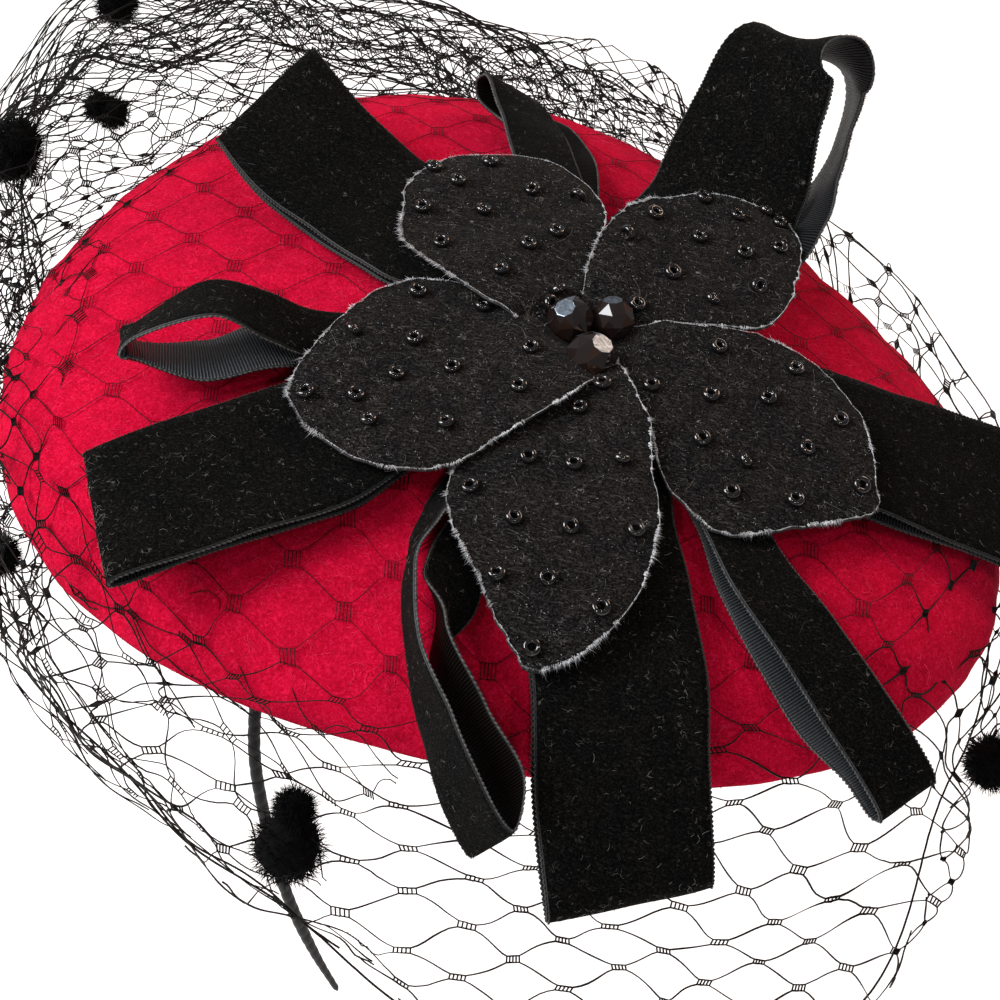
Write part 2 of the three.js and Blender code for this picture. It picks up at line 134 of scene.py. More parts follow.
# Many rods at once: paths is (rods, stops, 3), radius one number or (rods, stops).
def rods(paths, radius, sides, normal=None):
    count, stops, _ = paths.shape
    along = unit(np.gradient(paths, axis=1))
    if normal is None:
        normal = np.eye(3)[np.argmin(np.abs(along).max(1), 1)][:, None, :]
    across = unit(np.cross(along, np.broadcast_to(normal, along.shape)))
    lift = np.cross(along, across)
    turn = anglesOf(sides)
    size = np.broadcast_to(radius, (count, stops))[:, :, None, None]
    ring = paths[:, :, None] + size * (np.cos(turn)[:, None] * across[:, :, None]
                                       + np.sin(turn)[:, None] * lift[:, :, None])
    grid = np.arange(count * stops * sides).reshape(count, stops, sides)
    after = np.roll(grid, -1, 2)
    quads = np.stack([grid[:, :-1], after[:, :-1], after[:, 1:], grid[:, 1:]], -1).reshape(-1, 4)
    ends = np.concatenate([grid[:, -1], grid[:, 0, ::-1]])
    return ring.reshape(-1, 3), list(quads) + list(ends)


# Short thorn-shaped hairs, four faces each.
def hairs(roots, ways, length, radius):
    way = unit(ways)
    pick = np.eye(3)[np.argmin(np.abs(way), 1)]
    across = unit(np.cross(way, pick))
    lift = np.cross(way, across)
    turn = anglesOf(3)
    radius = np.broadcast_to(radius, len(roots))[:, None, None]
    base = roots[:, None] + radius * (np.cos(turn)[:, None] * across[:, None]
                                      + np.sin(turn)[:, None] * lift[:, None])
    tip = roots + way * np.broadcast_to(length, len(roots))[:, None]
    points = np.concatenate([base, tip[:, None]], 1).reshape(-1, 3)
    first = 4 * np.arange(len(roots))
    sides = [np.stack([first + a, first + (a + 1) % 3, first + 3], -1) for a in range(3)]
    sides.append(np.stack([first + 2, first + 1, first], -1))
    return points, list(np.concatenate(sides))


# Loose curved fibres lying along a surface: they start at roots and wander in its plane.
def fibres(roots, normals, length, radius, own, rise, stops=4, bend=1.2):
    count = len(roots)
    flat = unit(np.cross(normals, own.normal(size=(count, 3))))
    other = np.cross(normals, flat)
    heading = own.uniform(0, 2 * math.pi, count)
    turn = own.normal(0, bend, count)
    step = length / (stops - 1)
    paths = [roots]
    for k in range(1, stops):
        angle = heading + turn * k / (stops - 1) * 2
        lift = rise * math.cos(math.pi * k / (stops - 1))
        way = np.cos(angle)[:, None] * flat + np.sin(angle)[:, None] * other + lift * normals
        paths.append(paths[-1] + way * step[:, None])
    thin = np.linspace(1, 0.5, stops)[None, :] * np.ones(count)[:, None]
    return rods(np.stack(paths, 1), radius * thin, 3)


# Faces of a closed skin over rings of points, with a cap on the first and last ring.
def skinFaces(rows, columns):
    index = np.arange(rows * columns).reshape(rows, columns)
    after = np.roll(index, -1, 1)
    quads = np.stack([index[:-1], after[:-1], after[1:], index[1:]], -1).reshape(-1, 4)
    return list(quads) + [index[0, ::-1], index[-1]]


# Smooth values through rows of numbers at uneven places.
def through(places, values, at):
    places, values = np.asarray(places, float), np.asarray(values, float)
    slopes = np.gradient(values, places)
    i = np.clip(np.searchsorted(places, at, side="right") - 1, 0, len(places) - 2)
    span = places[i + 1] - places[i]
    t = (at - places[i]) / span
    return ((2 * t**3 - 3 * t**2 + 1) * values[i] + (t**3 - 2 * t**2 + t) * span * slopes[i]
            + (3 * t**2 - 2 * t**3) * values[i + 1] + (t**3 - t**2) * span * slopes[i + 1])


# A centripetal Catmull-Rom curve through places, steps points to each stretch.
def curveThrough(places, steps):
    p = np.asarray(places, float)
    p = np.concatenate([[2 * p[0] - p[1]], p, [2 * p[-1] - p[-2]]])
    out = []
    for i in range(1, len(p) - 2):
        a, b, c, d = p[i - 1:i + 3]
        d0, d1, d2 = (max(np.linalg.norm(v) ** 0.5, 1e-4) for v in (b - a, c - b, d - c))
        m1 = ((b - a) / d0 - (c - a) / (d0 + d1) + (c - b) / d1) * d1
        m2 = ((c - b) / d1 - (d - b) / (d1 + d2) + (d - c) / d2) * d1
        t = (np.arange(steps) / steps)[:, None]
        out.append((2 * t**3 - 3 * t**2 + 1) * b + (t**3 - 2 * t**2 + t) * m1
                   + (3 * t**2 - 2 * t**3) * c + (t**3 - t**2) * m2)
    return np.concatenate([*out, p[-2:-1]])


# Materials: placeOf gives a place in millimetres, grain a noise on it, and steps, mixed and
# bumped turn noises into colours and relief.
def newLook(name, colour, roughness, sockets=None):
    material = bpy.data.materials.new(name)
    material.use_nodes = True
    shader = material.node_tree.nodes["Principled BSDF"]
    shader.inputs["Base Color"].default_value = (*colour, 1)
    shader.inputs["Roughness"].default_value = roughness
    for key, value in (sockets or {}).items():
        shader.inputs[key].default_value = value
    material.diffuse_color = (*colour, 1)
    return material, material.node_tree, shader


def addNode(tree, kind, values=None, **settings):
    made = tree.nodes.new(kind)
    for key, value in settings.items():
        setattr(made, key, value)
    for key, value in (values or {}).items():
        made.inputs[key].default_value = value
    return made


def placeOf(tree, stretch=(1, 1, 1), turn=0, cloth=False):
    if cloth:
        source = addNode(tree, "ShaderNodeUVMap", uv_map="cloth").outputs["UV"]
    else:
        source = addNode(tree, "ShaderNodeTexCoord").outputs["Object"]
    size = 1 if cloth else 1 / mm
    mapping = addNode(tree, "ShaderNodeMapping")
    mapping.inputs["Rotation"].default_value = (0, 0, turn)
    mapping.inputs["Scale"].default_value = [size / s for s in stretch]
    tree.links.new(source, mapping.inputs["Vector"])
    return mapping.outputs["Vector"]


# Noise whose grains are about size millimetres.
def grain(tree, place, size, detail, rough, twist=0):
    noise = addNode(tree, "ShaderNodeTexNoise", {
        "Scale": 1 / size, "Detail": detail, "Roughness": rough, "Distortion": twist})
    tree.links.new(place, noise.inputs["Vector"])
    return noise.outputs["Fac"]


def steps(tree, value, stops):
    ramp = addNode(tree, "ShaderNodeValToRGB")
    while len(ramp.color_ramp.elements) < len(stops):
        ramp.color_ramp.elements.new(0.5)
    for element, (at, colour) in zip(ramp.color_ramp.elements, stops):
        element.position = at
        element.color = (*colour, 1) if isinstance(colour, tuple) else (colour,) * 3 + (1,)
    tree.links.new(value, ramp.inputs["Fac"])
    return ramp.outputs["Color"]


def mixed(tree, share, a, b, how="MIX"):
    mix = addNode(tree, "ShaderNodeMix", data_type="RGBA", blend_type=how)
    for socket, value in ((mix.inputs[0], share), (mix.inputs[6], a), (mix.inputs[7], b)):
        if isinstance(value, bpy.types.NodeSocket):
            tree.links.new(value, socket)
        else:
            socket.default_value = (*value, 1) if isinstance(value, tuple) else value
    return mix.outputs[2]


def bumped(tree, height, depth, strength, under=None):
    bump = addNode(tree, "ShaderNodeBump", {"Distance": depth * mm, "Strength": strength})
    tree.links.new(height, bump.inputs["Height"])
    if under is not None:
        tree.links.new(under, bump.inputs["Normal"])
    return bump.outputs["Normal"]


def wearLook(tree, shader, shade, relief):
    tree.links.new(shade, shader.inputs["Base Color"])
    tree.links.new(relief, shader.inputs["Normal"])


def feltLook():
    look, tree, shader = newLook("redFelt", (0.5, 0.003, 0.03), 0.95, {
        "Specular IOR Level": 0.03, "Sheen Weight": 0.05, "Sheen Roughness": 0.6,
        "Sheen Tint": (1, 0.15, 0.3, 1)})
    place = placeOf(tree)
    curls = grain(tree, place, 0.9, 5, 0.7, 2.2)
    clouds = grain(tree, place, 7, 4, 0.6)
    wool = steps(tree, curls, [(0.32, (0.36, 0.0010, 0.012)), (0.5, (0.54, 0.0022, 0.028)),
                               (0.64, (0.74, 0.010, 0.062))])
    worn = steps(tree, clouds, [(0.35, 0.80), (0.62, 1.0)])
    deep = bumped(tree, grain(tree, place, 2.6, 4, 0.6, 0.8), 0.22, 0.5)
    wearLook(tree, shader, mixed(tree, 1.0, wool, worn, "MULTIPLY"),
             bumped(tree, curls, 0.16, 0.55, deep))
    return look


# Short curled hairs: the thin contour lines of one noise, broken up by another.
def strayHairs(tree, place, size, width, share):
    line = addNode(tree, "ShaderNodeMath", {1: 0.5}, operation="SUBTRACT")
    tree.links.new(grain(tree, place, size, 0, 0.5, 1.5), line.inputs[0])
    near = addNode(tree, "ShaderNodeMath", operation="ABSOLUTE")
    tree.links.new(line.outputs[0], near.inputs[0])
    thin = steps(tree, near.outputs[0], [(0.0, 1.0), (width, 0.0)])
    some = steps(tree, grain(tree, place, size * 1.3, 2, 0.6), [(1 - share, 0.0), (1.04 - share, 1.0)])
    return mixed(tree, 1.0, thin, some, "MULTIPLY")


# Black pile with dust and stray hairs; warm and cool are the two shades of the pile.
def pileLook(name, warm, cool, dust, dustShare, nap, glow):
    look, tree, shader = newLook(name, warm, 0.9, {
        "Specular IOR Level": 0.04, "Sheen Weight": glow, "Sheen Roughness": 0.35,
        "Sheen Tint": (0.8, 0.78, 0.74, 1)})
    place = placeOf(tree)
    fine = grain(tree, place, 0.34, 3, 0.7)
    drift = grain(tree, place, 6, 3, 0.55)
    brushed = grain(tree, placeOf(tree, nap, math.radians(-14)), 1, 4, 0.65)
    shade = mixed(tree, steps(tree, drift, [(0.4, 0.0), (0.62, 1.0)]), warm, cool)
    shade = mixed(tree, 1.0, shade, steps(tree, fine, [(0.36, 0.15), (0.5, 0.7), (0.64, 2.4)]),
                  "MULTIPLY")
    specks = steps(tree, brushed, [(1 - dustShare, 0.0), (1.12 - dustShare, 0.55), (1.0, 1.0)])
    shade = mixed(tree, specks, shade, dust)
    bright = tuple(min(c * 2.6, 0.5) for c in dust)
    shade = mixed(tree, strayHairs(tree, place, 1.5, 0.02, 0.40), shade, bright)
    shade = mixed(tree, strayHairs(tree, place, 0.8, 0.03, 0.36), shade, dust)
    wearLook(tree, shader, shade, bumped(tree, fine, 0.22, 0.8))
    return look


# The ribbon's back: satin with fine ribs across it, rib millimetres apart, with painted shade in the
# troughs between the ribs.
def satinLook(name, colour, rib, shine=0.2):
    look, tree, shader = newLook(name, colour, 0.42, {"Specular IOR Level": shine})
    place = placeOf(tree, cloth=True)
    ribs = addNode(tree, "ShaderNodeTexWave", {
        "Scale": 0.5 / rib, "Distortion": 0.5, "Detail": 1, "Detail Scale": 2},
        wave_type="BANDS", bands_direction="Y")
    tree.links.new(place, ribs.inputs["Vector"])
    height = ribs.outputs["Fac"]
    threads = grain(tree, place, 0.3, 2, 0.6)
    # darker where the ribs are low: painted shade in the grooves
    shade = steps(tree, height, [(0.15, tuple(c * 0.22 for c in colour)), (0.7, colour)])
    shade = mixed(tree, 1.0, shade, steps(tree, threads, [(0.3, 0.7), (0.7, 1.25)]), "MULTIPLY")
    wearLook(tree, shader, shade, bumped(tree, height, 0.2, 1.0))
    return look


# One colour with specks of about size millimetres.
def plainLook(name, colour, roughness, speck, size, sockets=None):
    look, tree, shader = newLook(name, colour, roughness, sockets)
    tone = grain(tree, placeOf(tree), size, 3, 0.6)
    shade = steps(tree, tone, [(0.3, tuple(c * (1 - speck) for c in colour)),
                               (0.7, tuple(min(c * (1 + speck), 1) for c in colour))])
    wearLook(tree, shader, shade, bumped(tree, tone, 0.05, 0.4))
    return look


looks = {
    "felt": feltLook(),
    "woolFibre": plainLook("woolFibre", (0.80, 0.020, 0.085), 0.8, 0.3, 3.0),
    "velvet": pileLook("blackVelvet", (0.0042, 0.0038, 0.0034), (0.0026, 0.0028, 0.0028),
                       (0.036, 0.034, 0.031), 0.42, (0.9, 0.3, 0.5), 0.03),
    "petalVelvet": pileLook("flowerVelvet", (0.0122, 0.0106, 0.0098), (0.0080, 0.0079, 0.0082),
                            (0.074, 0.071, 0.068), 0.44, (1.3, 0.26, 0.5), 0.04),
    "satin": satinLook("ribbedSatin", (0.050, 0.056, 0.062), 0.70),
    # a lighter copy of the satin: painted light on the back of one loop
    "paintedLightSatin": satinLook("paintedLightSatin", (0.100, 0.110, 0.120), 0.70),
    "darkSatin": satinLook("darkSatin", (0.021, 0.022, 0.024), 0.70, 0.02),
    # a darker, browner copy of the satin: painted shade for loop backs that lie in shade
    "paintedShadeSatin": satinLook("paintedShadeSatin", (0.0085, 0.0065, 0.0055), 0.70, 0.03),
    "selvedge": plainLook("selvedge", (0.010, 0.010, 0.010), 0.6, 0.5, 0.5),
    "picot": plainLook("edgeThread", (0.050, 0.052, 0.054), 0.5, 0.6, 1.1),
    "widePicot": plainLook("wideEdgeThread", (0.017, 0.017, 0.017), 0.6, 0.6, 1.1),
    "pile": plainLook("velvetPile", (0.012, 0.0115, 0.011), 0.7, 0.6, 2.0),
    "cutEdge": plainLook("cutEdge", (0.034, 0.0345, 0.036), 0.9, 0.95, 1.3),
    "fray": plainLook("frayedThread", (0.50, 0.51, 0.53), 0.7, 0.6, 1.6),
    "lint": plainLook("lint", (0.16, 0.15, 0.135), 0.7, 0.6, 4.0),
    "net": plainLook("netThread", (0.0065, 0.0050, 0.0046), 0.6, 0.6, 12.0,
                     {"Specular IOR Level": 0.15}),
    "chenille": plainLook("chenille", (0.0022, 0.0022, 0.0022), 0.9, 0.5, 1.0,
                          {"Specular IOR Level": 0.1}),
    "tuft": plainLook("tuftEnds", (0.030, 0.032, 0.034), 0.8, 0.5, 1.5),
    "wrap": plainLook("wrappedSatin", (0.0035, 0.0035, 0.0037), 0.5, 0.4, 0.6,
                      {"Specular IOR Level": 0.15}),
    "bead": newLook("seedBead", (0.016, 0.013, 0.013), 0.12,
                    {"Metallic": 0.6, "Coat Weight": 1.0, "Coat Roughness": 0.03})[0],
    "jet": newLook("jetGlass", (0.013, 0.008, 0.007), 0.05, {"Coat Weight": 0.5})[0],
    # a silver-blue facet: partly a coating, partly a painted glint
    "coatAndGlint": plainLook("coatAndGlintFacet", (0.22, 0.26, 0.31), 0.28, 0.6, 0.5, {"Metallic": 0.85}),
    # a bronze facet: a painted brown reflection
    "paintedBrownReflection": newLook("paintedBrownReflectionFacet", (0.085, 0.045, 0.032), 0.16, {"Metallic": 0.8})[0],
    "floor": newLook("paleFloor", (0.95, 0.95, 0.95), 0.9,
                     {"Emission Color": (1, 1, 1, 1), "Emission Strength": 0.42})[0],
}
print("materials made:", len(looks))

# The felt crown: a low uneven dome with a rounded lip, hollow below, and its loose wool.
crown = {
    "rimRadius": 75.8, "power": 2.2, "wall": 2.5,
    "lobes": [(2, 0.034, -0.042), (3, 0.026, -0.045)],
    "around": 260, "rows": 48, "topHole": 0.03, "unevenness": 0.22, "lipDrop": 0.35, "lipRound": 0.25,
    "fibres": 3000, "fibreLength": (1.5, 4.0), "fibreRadius": 0.03, "fibreRise": 0.2,
    "surfaceHairs": 3800, "surfaceLength": (0.25, 0.6), "surfaceRadius": 0.035, "surfaceSpread": 0.7,
    "rimHairs": 2200, "rimLength": (0.3, 1.1), "rimThick": 0.04, "rimSpread": 0.45, "rimDown": 0.6,
}
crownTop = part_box("felt_base")[1].z / mm
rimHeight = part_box("felt_base")[0].z / mm
crownRise = crownTop - rimHeight


def rimAt(az):
    return crown["rimRadius"] * (1 + sum(
        c * np.cos(n * az) + s * np.sin(n * az) for n, c, s in crown["lobes"]))


# The crown's section at a share of the way out: radius and height.
def crownPoint(az, share, grow):
    power = crown["power"]
    rise = (crownRise + grow) * np.maximum(1 - share**power, 0) ** (1 / power)
    return (rimAt(az) + grow) * share, rimHeight + rise


def crownHeight(x, y):
    az = np.arctan2(y, x)
    return crownPoint(az, np.minimum(np.hypot(x, y) / rimAt(az), 1), 0)[1]


def makeCrown():
    s = crown
    az = anglesOf(s["around"])
    turn = np.linspace(s["topHole"], math.pi / 2, s["rows"])
    shares = np.sin(turn) ** (2 / s["power"])
    deepMiddle = np.array([0, 0, rimHeight - 30])
    rings = []
    for grow, order in ((0, shares), (-s["wall"], shares[::-1])):
        for share in order:
            radius, height = crownPoint(az, share, grow)
            ring = polar(az, radius, height)
            away = unit(ring - deepMiddle)
            rings.append(ring + s["unevenness"] * ripple(ring, 11, 3)[:, None] * away)
    rings = np.stack(rings)
    edge = len(shares) - 1
    lip = (rings[edge] + rings[edge + 1]) / 2
    lip[:, 2] -= s["lipDrop"]
    rings[edge:edge + 2, :, 2] += s["lipRound"]
    rings = np.concatenate([rings[:edge + 1], lip[None], rings[edge + 1:]])
    faces = skinFaces(len(rings), s["around"])
    felt = makeMesh("felt_crown", rings.reshape(-1, 3), faces, [looks["felt"]])
    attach(felt, "root")
    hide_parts("felt_base")


def crownNormal(points):
    step = 0.05
    x, y = points[:, 0], points[:, 1]
    dx = (crownHeight(x + step, y) - crownHeight(x - step, y)) / (2 * step)
    dy = (crownHeight(x, y + step) - crownHeight(x, y - step)) / (2 * step)
    return unit(np.stack([-dx, -dy, np.ones_like(dx)], -1))


def onCrown(count, own, reach=0.97):
    az = own.uniform(0, 2 * math.pi, count)
    share = reach * np.sqrt(own.uniform(0.02, 1, count))
    radius, height = crownPoint(az, share, 0)
    return polar(az, radius, height)


def makeFeltFuzz():
    s = crown
    own = np.random.default_rng(31)
    roots = onCrown(s["fibres"], own)
    normals = crownNormal(roots)
    length = own.uniform(*s["fibreLength"], s["fibres"])
    parts = [fibres(roots, normals, length, s["fibreRadius"], own, s["fibreRise"])]
    roots = onCrown(s["surfaceHairs"], own, 1.0)
    ways = crownNormal(roots) + own.normal(0, s["surfaceSpread"], roots.shape)
    parts.append(hairs(roots, ways, own.uniform(*s["surfaceLength"], len(roots)), s["surfaceRadius"]))
    az = own.uniform(0, 2 * math.pi, s["rimHairs"])
    radius, height = crownPoint(az, 1, 0)
    roots = polar(az, radius - own.uniform(0, s["wall"], len(az)), height)
    ways = polar(az, 1, 0) * own.uniform(-0.2, 1, (len(az), 1))
    ways = ways + own.normal(0, s["rimSpread"], ways.shape) - np.array([0, 0, s["rimDown"]])
    parts.append(hairs(roots, ways, own.uniform(*s["rimLength"], len(az)), s["rimThick"]))
    fuzz = makeMesh("felt_fuzz", *joined(parts), [looks["woolFibre"]])
    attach(fuzz, "root")


makeCrown()
makeFeltFuzz()
print("felt crown made")

# The headband: one wire arch under the crown, wrapped in ribbon, thinner towards its ends.
band = {
    "wire": 2.2, "turn": -124, "lean": 9.9, "pitch": 2.9, "groove": 0.13, "overlap": 0.05,
    "endThin": 0.52, "thicker": 0.40, "endLength": 26, "tip": 1.2,
    "sides": 16, "stops": 1100, "perBend": 70,
    "arch": [(0, 0), (22, 2.6), (41, 11), (53, 25), (57, 42), (56, 60), (52, 82),
             (46.5, 101), (41.5, 115)],
}


def makeHeadband():
    s = band
    turn, lean = math.radians(s["turn"]), math.radians(s["lean"])
    across = np.array([math.cos(turn), math.sin(turn), 0])
    down = np.array([-math.sin(turn) * math.sin(lean), math.cos(turn) * math.sin(lean),
                     -math.cos(lean)])
    middle = np.array([0, 0, s["wire"] / 2])
    near = [middle + out * across + drop * down for out, drop in s["arch"]]
    far = [middle - out * across + drop * down for out, drop in s["arch"]]
    path = curveThrough(near[::-1] + far[1:], s["perBend"])
    length = lengthAlong(path)
    even = np.linspace(0, length[-1], s["stops"])
    path = atLengths(even, length, path)
    along = unit(np.gradient(path, axis=0))
    side = unit(np.cross(along, np.cross(across, down)))
    lift = np.cross(along, side)
    angle = anglesOf(s["sides"])
    phase = (even[:, None] / s["pitch"] - angle[None] / (2 * math.pi)) % 1
    toEnd = np.minimum(even, even[-1] - even)[:, None]
    dome = (toEnd / s["tip"]).clip(0.2, 1) ** 0.5
    taper = s["endThin"] + s["thicker"] * smooth(toEnd / s["endLength"])
    wrapping = s["groove"] * (1 - np.sin(math.pi * phase) ** 0.5) + s["overlap"] * phase
    radius = taper * (s["wire"] / 2 - wrapping)
    ring = path[:, None] + (radius * dome)[..., None] * (
        np.cos(angle)[:, None] * side[:, None] + np.sin(angle)[:, None] * lift[:, None])
    wrapped = makeMesh("wrapped_headband", ring.reshape(-1, 3), skinFaces(*ring.shape[:2]),
                       [looks["wrap"]])
    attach(wrapped, "root")
    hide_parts("headband")


makeHeadband()
print("headband made")

# The net. Its free part round the compass: ...Out counts from the felt's edge, ...Up from
# its height; cross is its height where it leaves the edge, fallUp on the way to its widest
# place, wide there and hem at its end.
veilSkirt = {
    "at": [-180, -150, -120, -95, -72, -45, -20, 15, 50, 85, 115, 145],
    "cross": [5, 4, 3.5, 2, 2, 1.5, 3.5, 6, 8, 8, 9, 8.5],
    "fallUp": [1, -2, -6, -17, -18, -17, -4, 3.5, 8, 9, 12, 11],
    "wideOut": [12, 5.5, 9, 16, 22, 19, 6.5, 8, 12, 12, 20, 26],
    "wideUp": [-3, -8, -15, -23, -29, -26, -12, 1, 6, 8, 14, 12],
    "hemOut": [8, 1.5, 4, 14, 24, 19, 5, 8, 13, 16, 30, 37],
    "hemUp": [-18, -23, -25.5, -27.5, -37, -39, -29, -16, -9, -6, 4, 1],
}
net = {
    "lift": 0.6, "liftOff": 0.94, "freeLength": 58, "curl": 6, "curls": (60, 190, 222), "curlTurn": 165,
    "gathers": {"from": 100, "to": 172, "waves": 4, "swing": 2.6},
    "turn": 6, "closer": 2.0, "feltEnd": 66, "looseOver": 16, "hemOver": 14, "partOver": 16,
    "spread": 0.75, "spreadFrom": 64, "spreadOver": 34,
    "swayFrom": 62, "swayOver": 30, "waves": (46, 15), "layerWave": 34,
    "bars": 5, "barThick": 1.15, "freeKnot": 0.62, "knotOver": 12, "uneven": 0.22, "onFelt": 0.3,
    "ragged": 5, "raggedPace": 0.21, "toEdge": 230, "pastHem": 3.5, "hemInside": 0.3,
}
# Each layer: cell is a knot's spacing along a row and from row to row; knot its half
# width and half height; shift moves the pattern and skew turns it; compass where it lies;
# reach where it starts from the centre; stray how far threads wander along and off the
# cloth; out its place over the first layer, or under it (-); thread its radius on the felt
# and beyond; hem the radius of its edge.
netLayers = {
    "net_over": {"cell": (15, 7.2), "knot": (1.05, 1.3), "shift": (0.7, -5.4), "skew": 0,
                 "compass": (0, 360), "reach": 15, "stray": (2.4, 1.5), "out": 0.0,
                 "thread": (0.058, 0.145), "hem": 0.18},
    "net_under": {"cell": (14.5, 7.4), "knot": (1.05, 1.2), "shift": (5, 1), "skew": -46,
                  "compass": (168, 266), "reach": 66, "stray": (3.0, 1.4), "out": -3.4,
                  "thread": (0.075, 0.12), "hem": 0.17},
    "net_inner": {"cell": (13.5, 7.0), "knot": (1.0, 1.1), "shift": (2, 5), "skew": -58,
                  "compass": (158, 244), "reach": 74, "stray": (3.0, 1.4), "out": 2.8,
                  "thread": (0.075, 0.115), "hem": 0},
    "net_side": {"cell": (13, 6.6), "knot": (0.95, 1.0), "shift": (1, 2), "skew": 72,
                 "compass": (66, 200), "reach": 68, "stray": (3.5, 1.6), "out": -2.4,
                 "thread": (0.07, 0.115), "hem": 0.18},
    "net_gather": {"cell": (8.4, 4.6), "knot": (0.7, 0.8), "shift": (1, 4), "skew": 30,
                   "compass": (62, 178), "reach": 77, "stray": (4.0, 3.0), "out": 1.5,
                   "thread": (0.08, 0.115), "hem": 0.16},
    "net_bunch": {"cell": (7.4, 4.4), "knot": (0.7, 0.7), "shift": (2, 1), "skew": 44,
                  "compass": (80, 162), "reach": 80, "stray": (4.5, 3.5), "out": -4.5,
                  "thread": (0.08, 0.11), "hem": 0},
}


def skirtValue(column, az):
    at = np.array(veilSkirt["at"] + [180.0])
    values = np.array(veilSkirt[column], float)
    turned = (np.degrees(az) + 180) % 360 - 180
    i = np.clip(np.searchsorted(at, turned, side="right") - 1, 0, len(values) - 1)
    t = (turned - at[i]) / (at[i + 1] - at[i])
    a, b, c, d = (values[(i + k) % len(values)] for k in (-1, 0, 1, 2))
    return b + 0.5 * t * (c - a + t * (2 * a - 5 * b + 4 * c - d + t * (3 * (b - c) + d - a)))


def gatherAt(az):
    g = net["gathers"]
    t = ((np.degrees(az) + 180) % 360 - 180 - g["from"]) / (g["to"] - g["from"])
    inside = (t > 0) & (t < 1)
    return np.where(inside, g["swing"] * np.sin(math.pi * t) * np.sin(2 * math.pi * g["waves"] * t), 0)


# One line of the net from the crown's top to its hem, as (radius, height) points a
# millimetre apart. Where its fall is short the cloth curls inwards.
def veilLine(az):
    s = net
    on = np.stack(crownPoint(az, np.linspace(0, s["liftOff"], 60), s["lift"]), -1)
    edge, wave = rimAt(az), gatherAt(az)
    wide = skirtValue("wideOut", az)
    stops = [np.array(crownPoint(az, 0.85, s["lift"])), on[-1],
             (edge + 3, rimHeight + skirtValue("cross", az) + 0.3 * wave),
             (edge + 0.4 * wide + 0.5, rimHeight + skirtValue("fallUp", az) + 0.6 * wave),
             (edge + wide, rimHeight + skirtValue("wideUp", az) + wave),
             (edge + skirtValue("hemOut", az), rimHeight + skirtValue("hemUp", az) + 1.3 * wave)]
    p = np.array([*stops, stops[-1]], float)
    free = []
    for i in range(1, 5):
        a, b, c, d = p[i - 1:i + 3]
        t = np.linspace(0, 1, 24, endpoint=False)[:, None]
        v0, v1 = (c - a) / 2, (d - b) / 2
        free.append((2 * b - 2 * c + v0 + v1) * t**3 + (3 * c - 3 * b - 2 * v0 - v1) * t**2 + v0 * t + b)
    free = np.concatenate([*free, p[-1:]])
    left = s["freeLength"] - np.linalg.norm(np.diff(free, axis=0), axis=1).sum()
    compass = math.degrees(az) % 360
    whole, first, last = s["curls"]   # past last, round the front to the right, the hem hangs open
    left *= 1 - smooth((compass - first) / (last - first)) if compass > first else smooth(compass / whole)
    heading = math.atan2(*(free[-1] - free[-3])[::-1])
    line = list(free)
    turned = 0
    while left > 0:
        if turned < math.radians(s["curlTurn"]):
            turned += 1 / s["curl"]
            heading -= 1 / s["curl"]
        line.append(line[-1] + np.array([math.cos(heading), math.sin(heading)]))
        left -= 1
    line = np.concatenate([on[:-1], line])
    length = lengthAlong(line)
    return atLengths(np.arange(0, length[-1], 1.0), length, line)


lines = [veilLine(math.radians(degrees)) for degrees in range(0, 360, 2)]
clothEnd = np.array([len(line) - 1.01 for line in lines])
longest = max(len(line) for line in lines)
cloth = np.array([np.concatenate([line, np.repeat(line[-1:], longest - len(line), 0)]) for line in lines])
# the cloth over the crown, its first 70 mm
crownCloth = np.linalg.norm(np.diff(cloth[:, :70], axis=1), axis=-1).sum(1).mean() + 1


def clothTable(az):
    column = (np.degrees(az) % 360) / 2
    i = np.floor(column).astype(int) % len(cloth)
    return i, (i + 1) % len(cloth), column - np.floor(column)


# A place on the cloth: along counts millimetres from the centre, out is off its surface.
def clothPlace(az, along, out):
    i, k, u = clothTable(az)
    row = np.clip(along, 0, longest - 1.01)
    j = np.floor(row).astype(int)
    v, u = (row - j)[..., None], u[..., None]
    low, high = lerp(cloth[i, j], cloth[k, j], u), lerp(cloth[i, j + 1], cloth[k, j + 1], u)
    here, run = lerp(low, high, v), unit(high - low)
    beyond = here + np.stack([-run[..., 1], run[..., 0]], -1) * np.asarray(out)[..., None]
    return polar(az, beyond[..., 0], beyond[..., 1])


# The layers meet again at the ends of their arcs.
def parting(az, layer):
    first, last = layer["compass"]
    turned = np.degrees(az) % 360
    return smooth((turned - first) / net["partOver"]) * smooth((last - turned) / net["partOver"])


# How far along the cloth its hem is.
def hemAt(az):
    i, k, u = clothTable(az)
    return lerp(clothEnd[i], clothEnd[k], u)


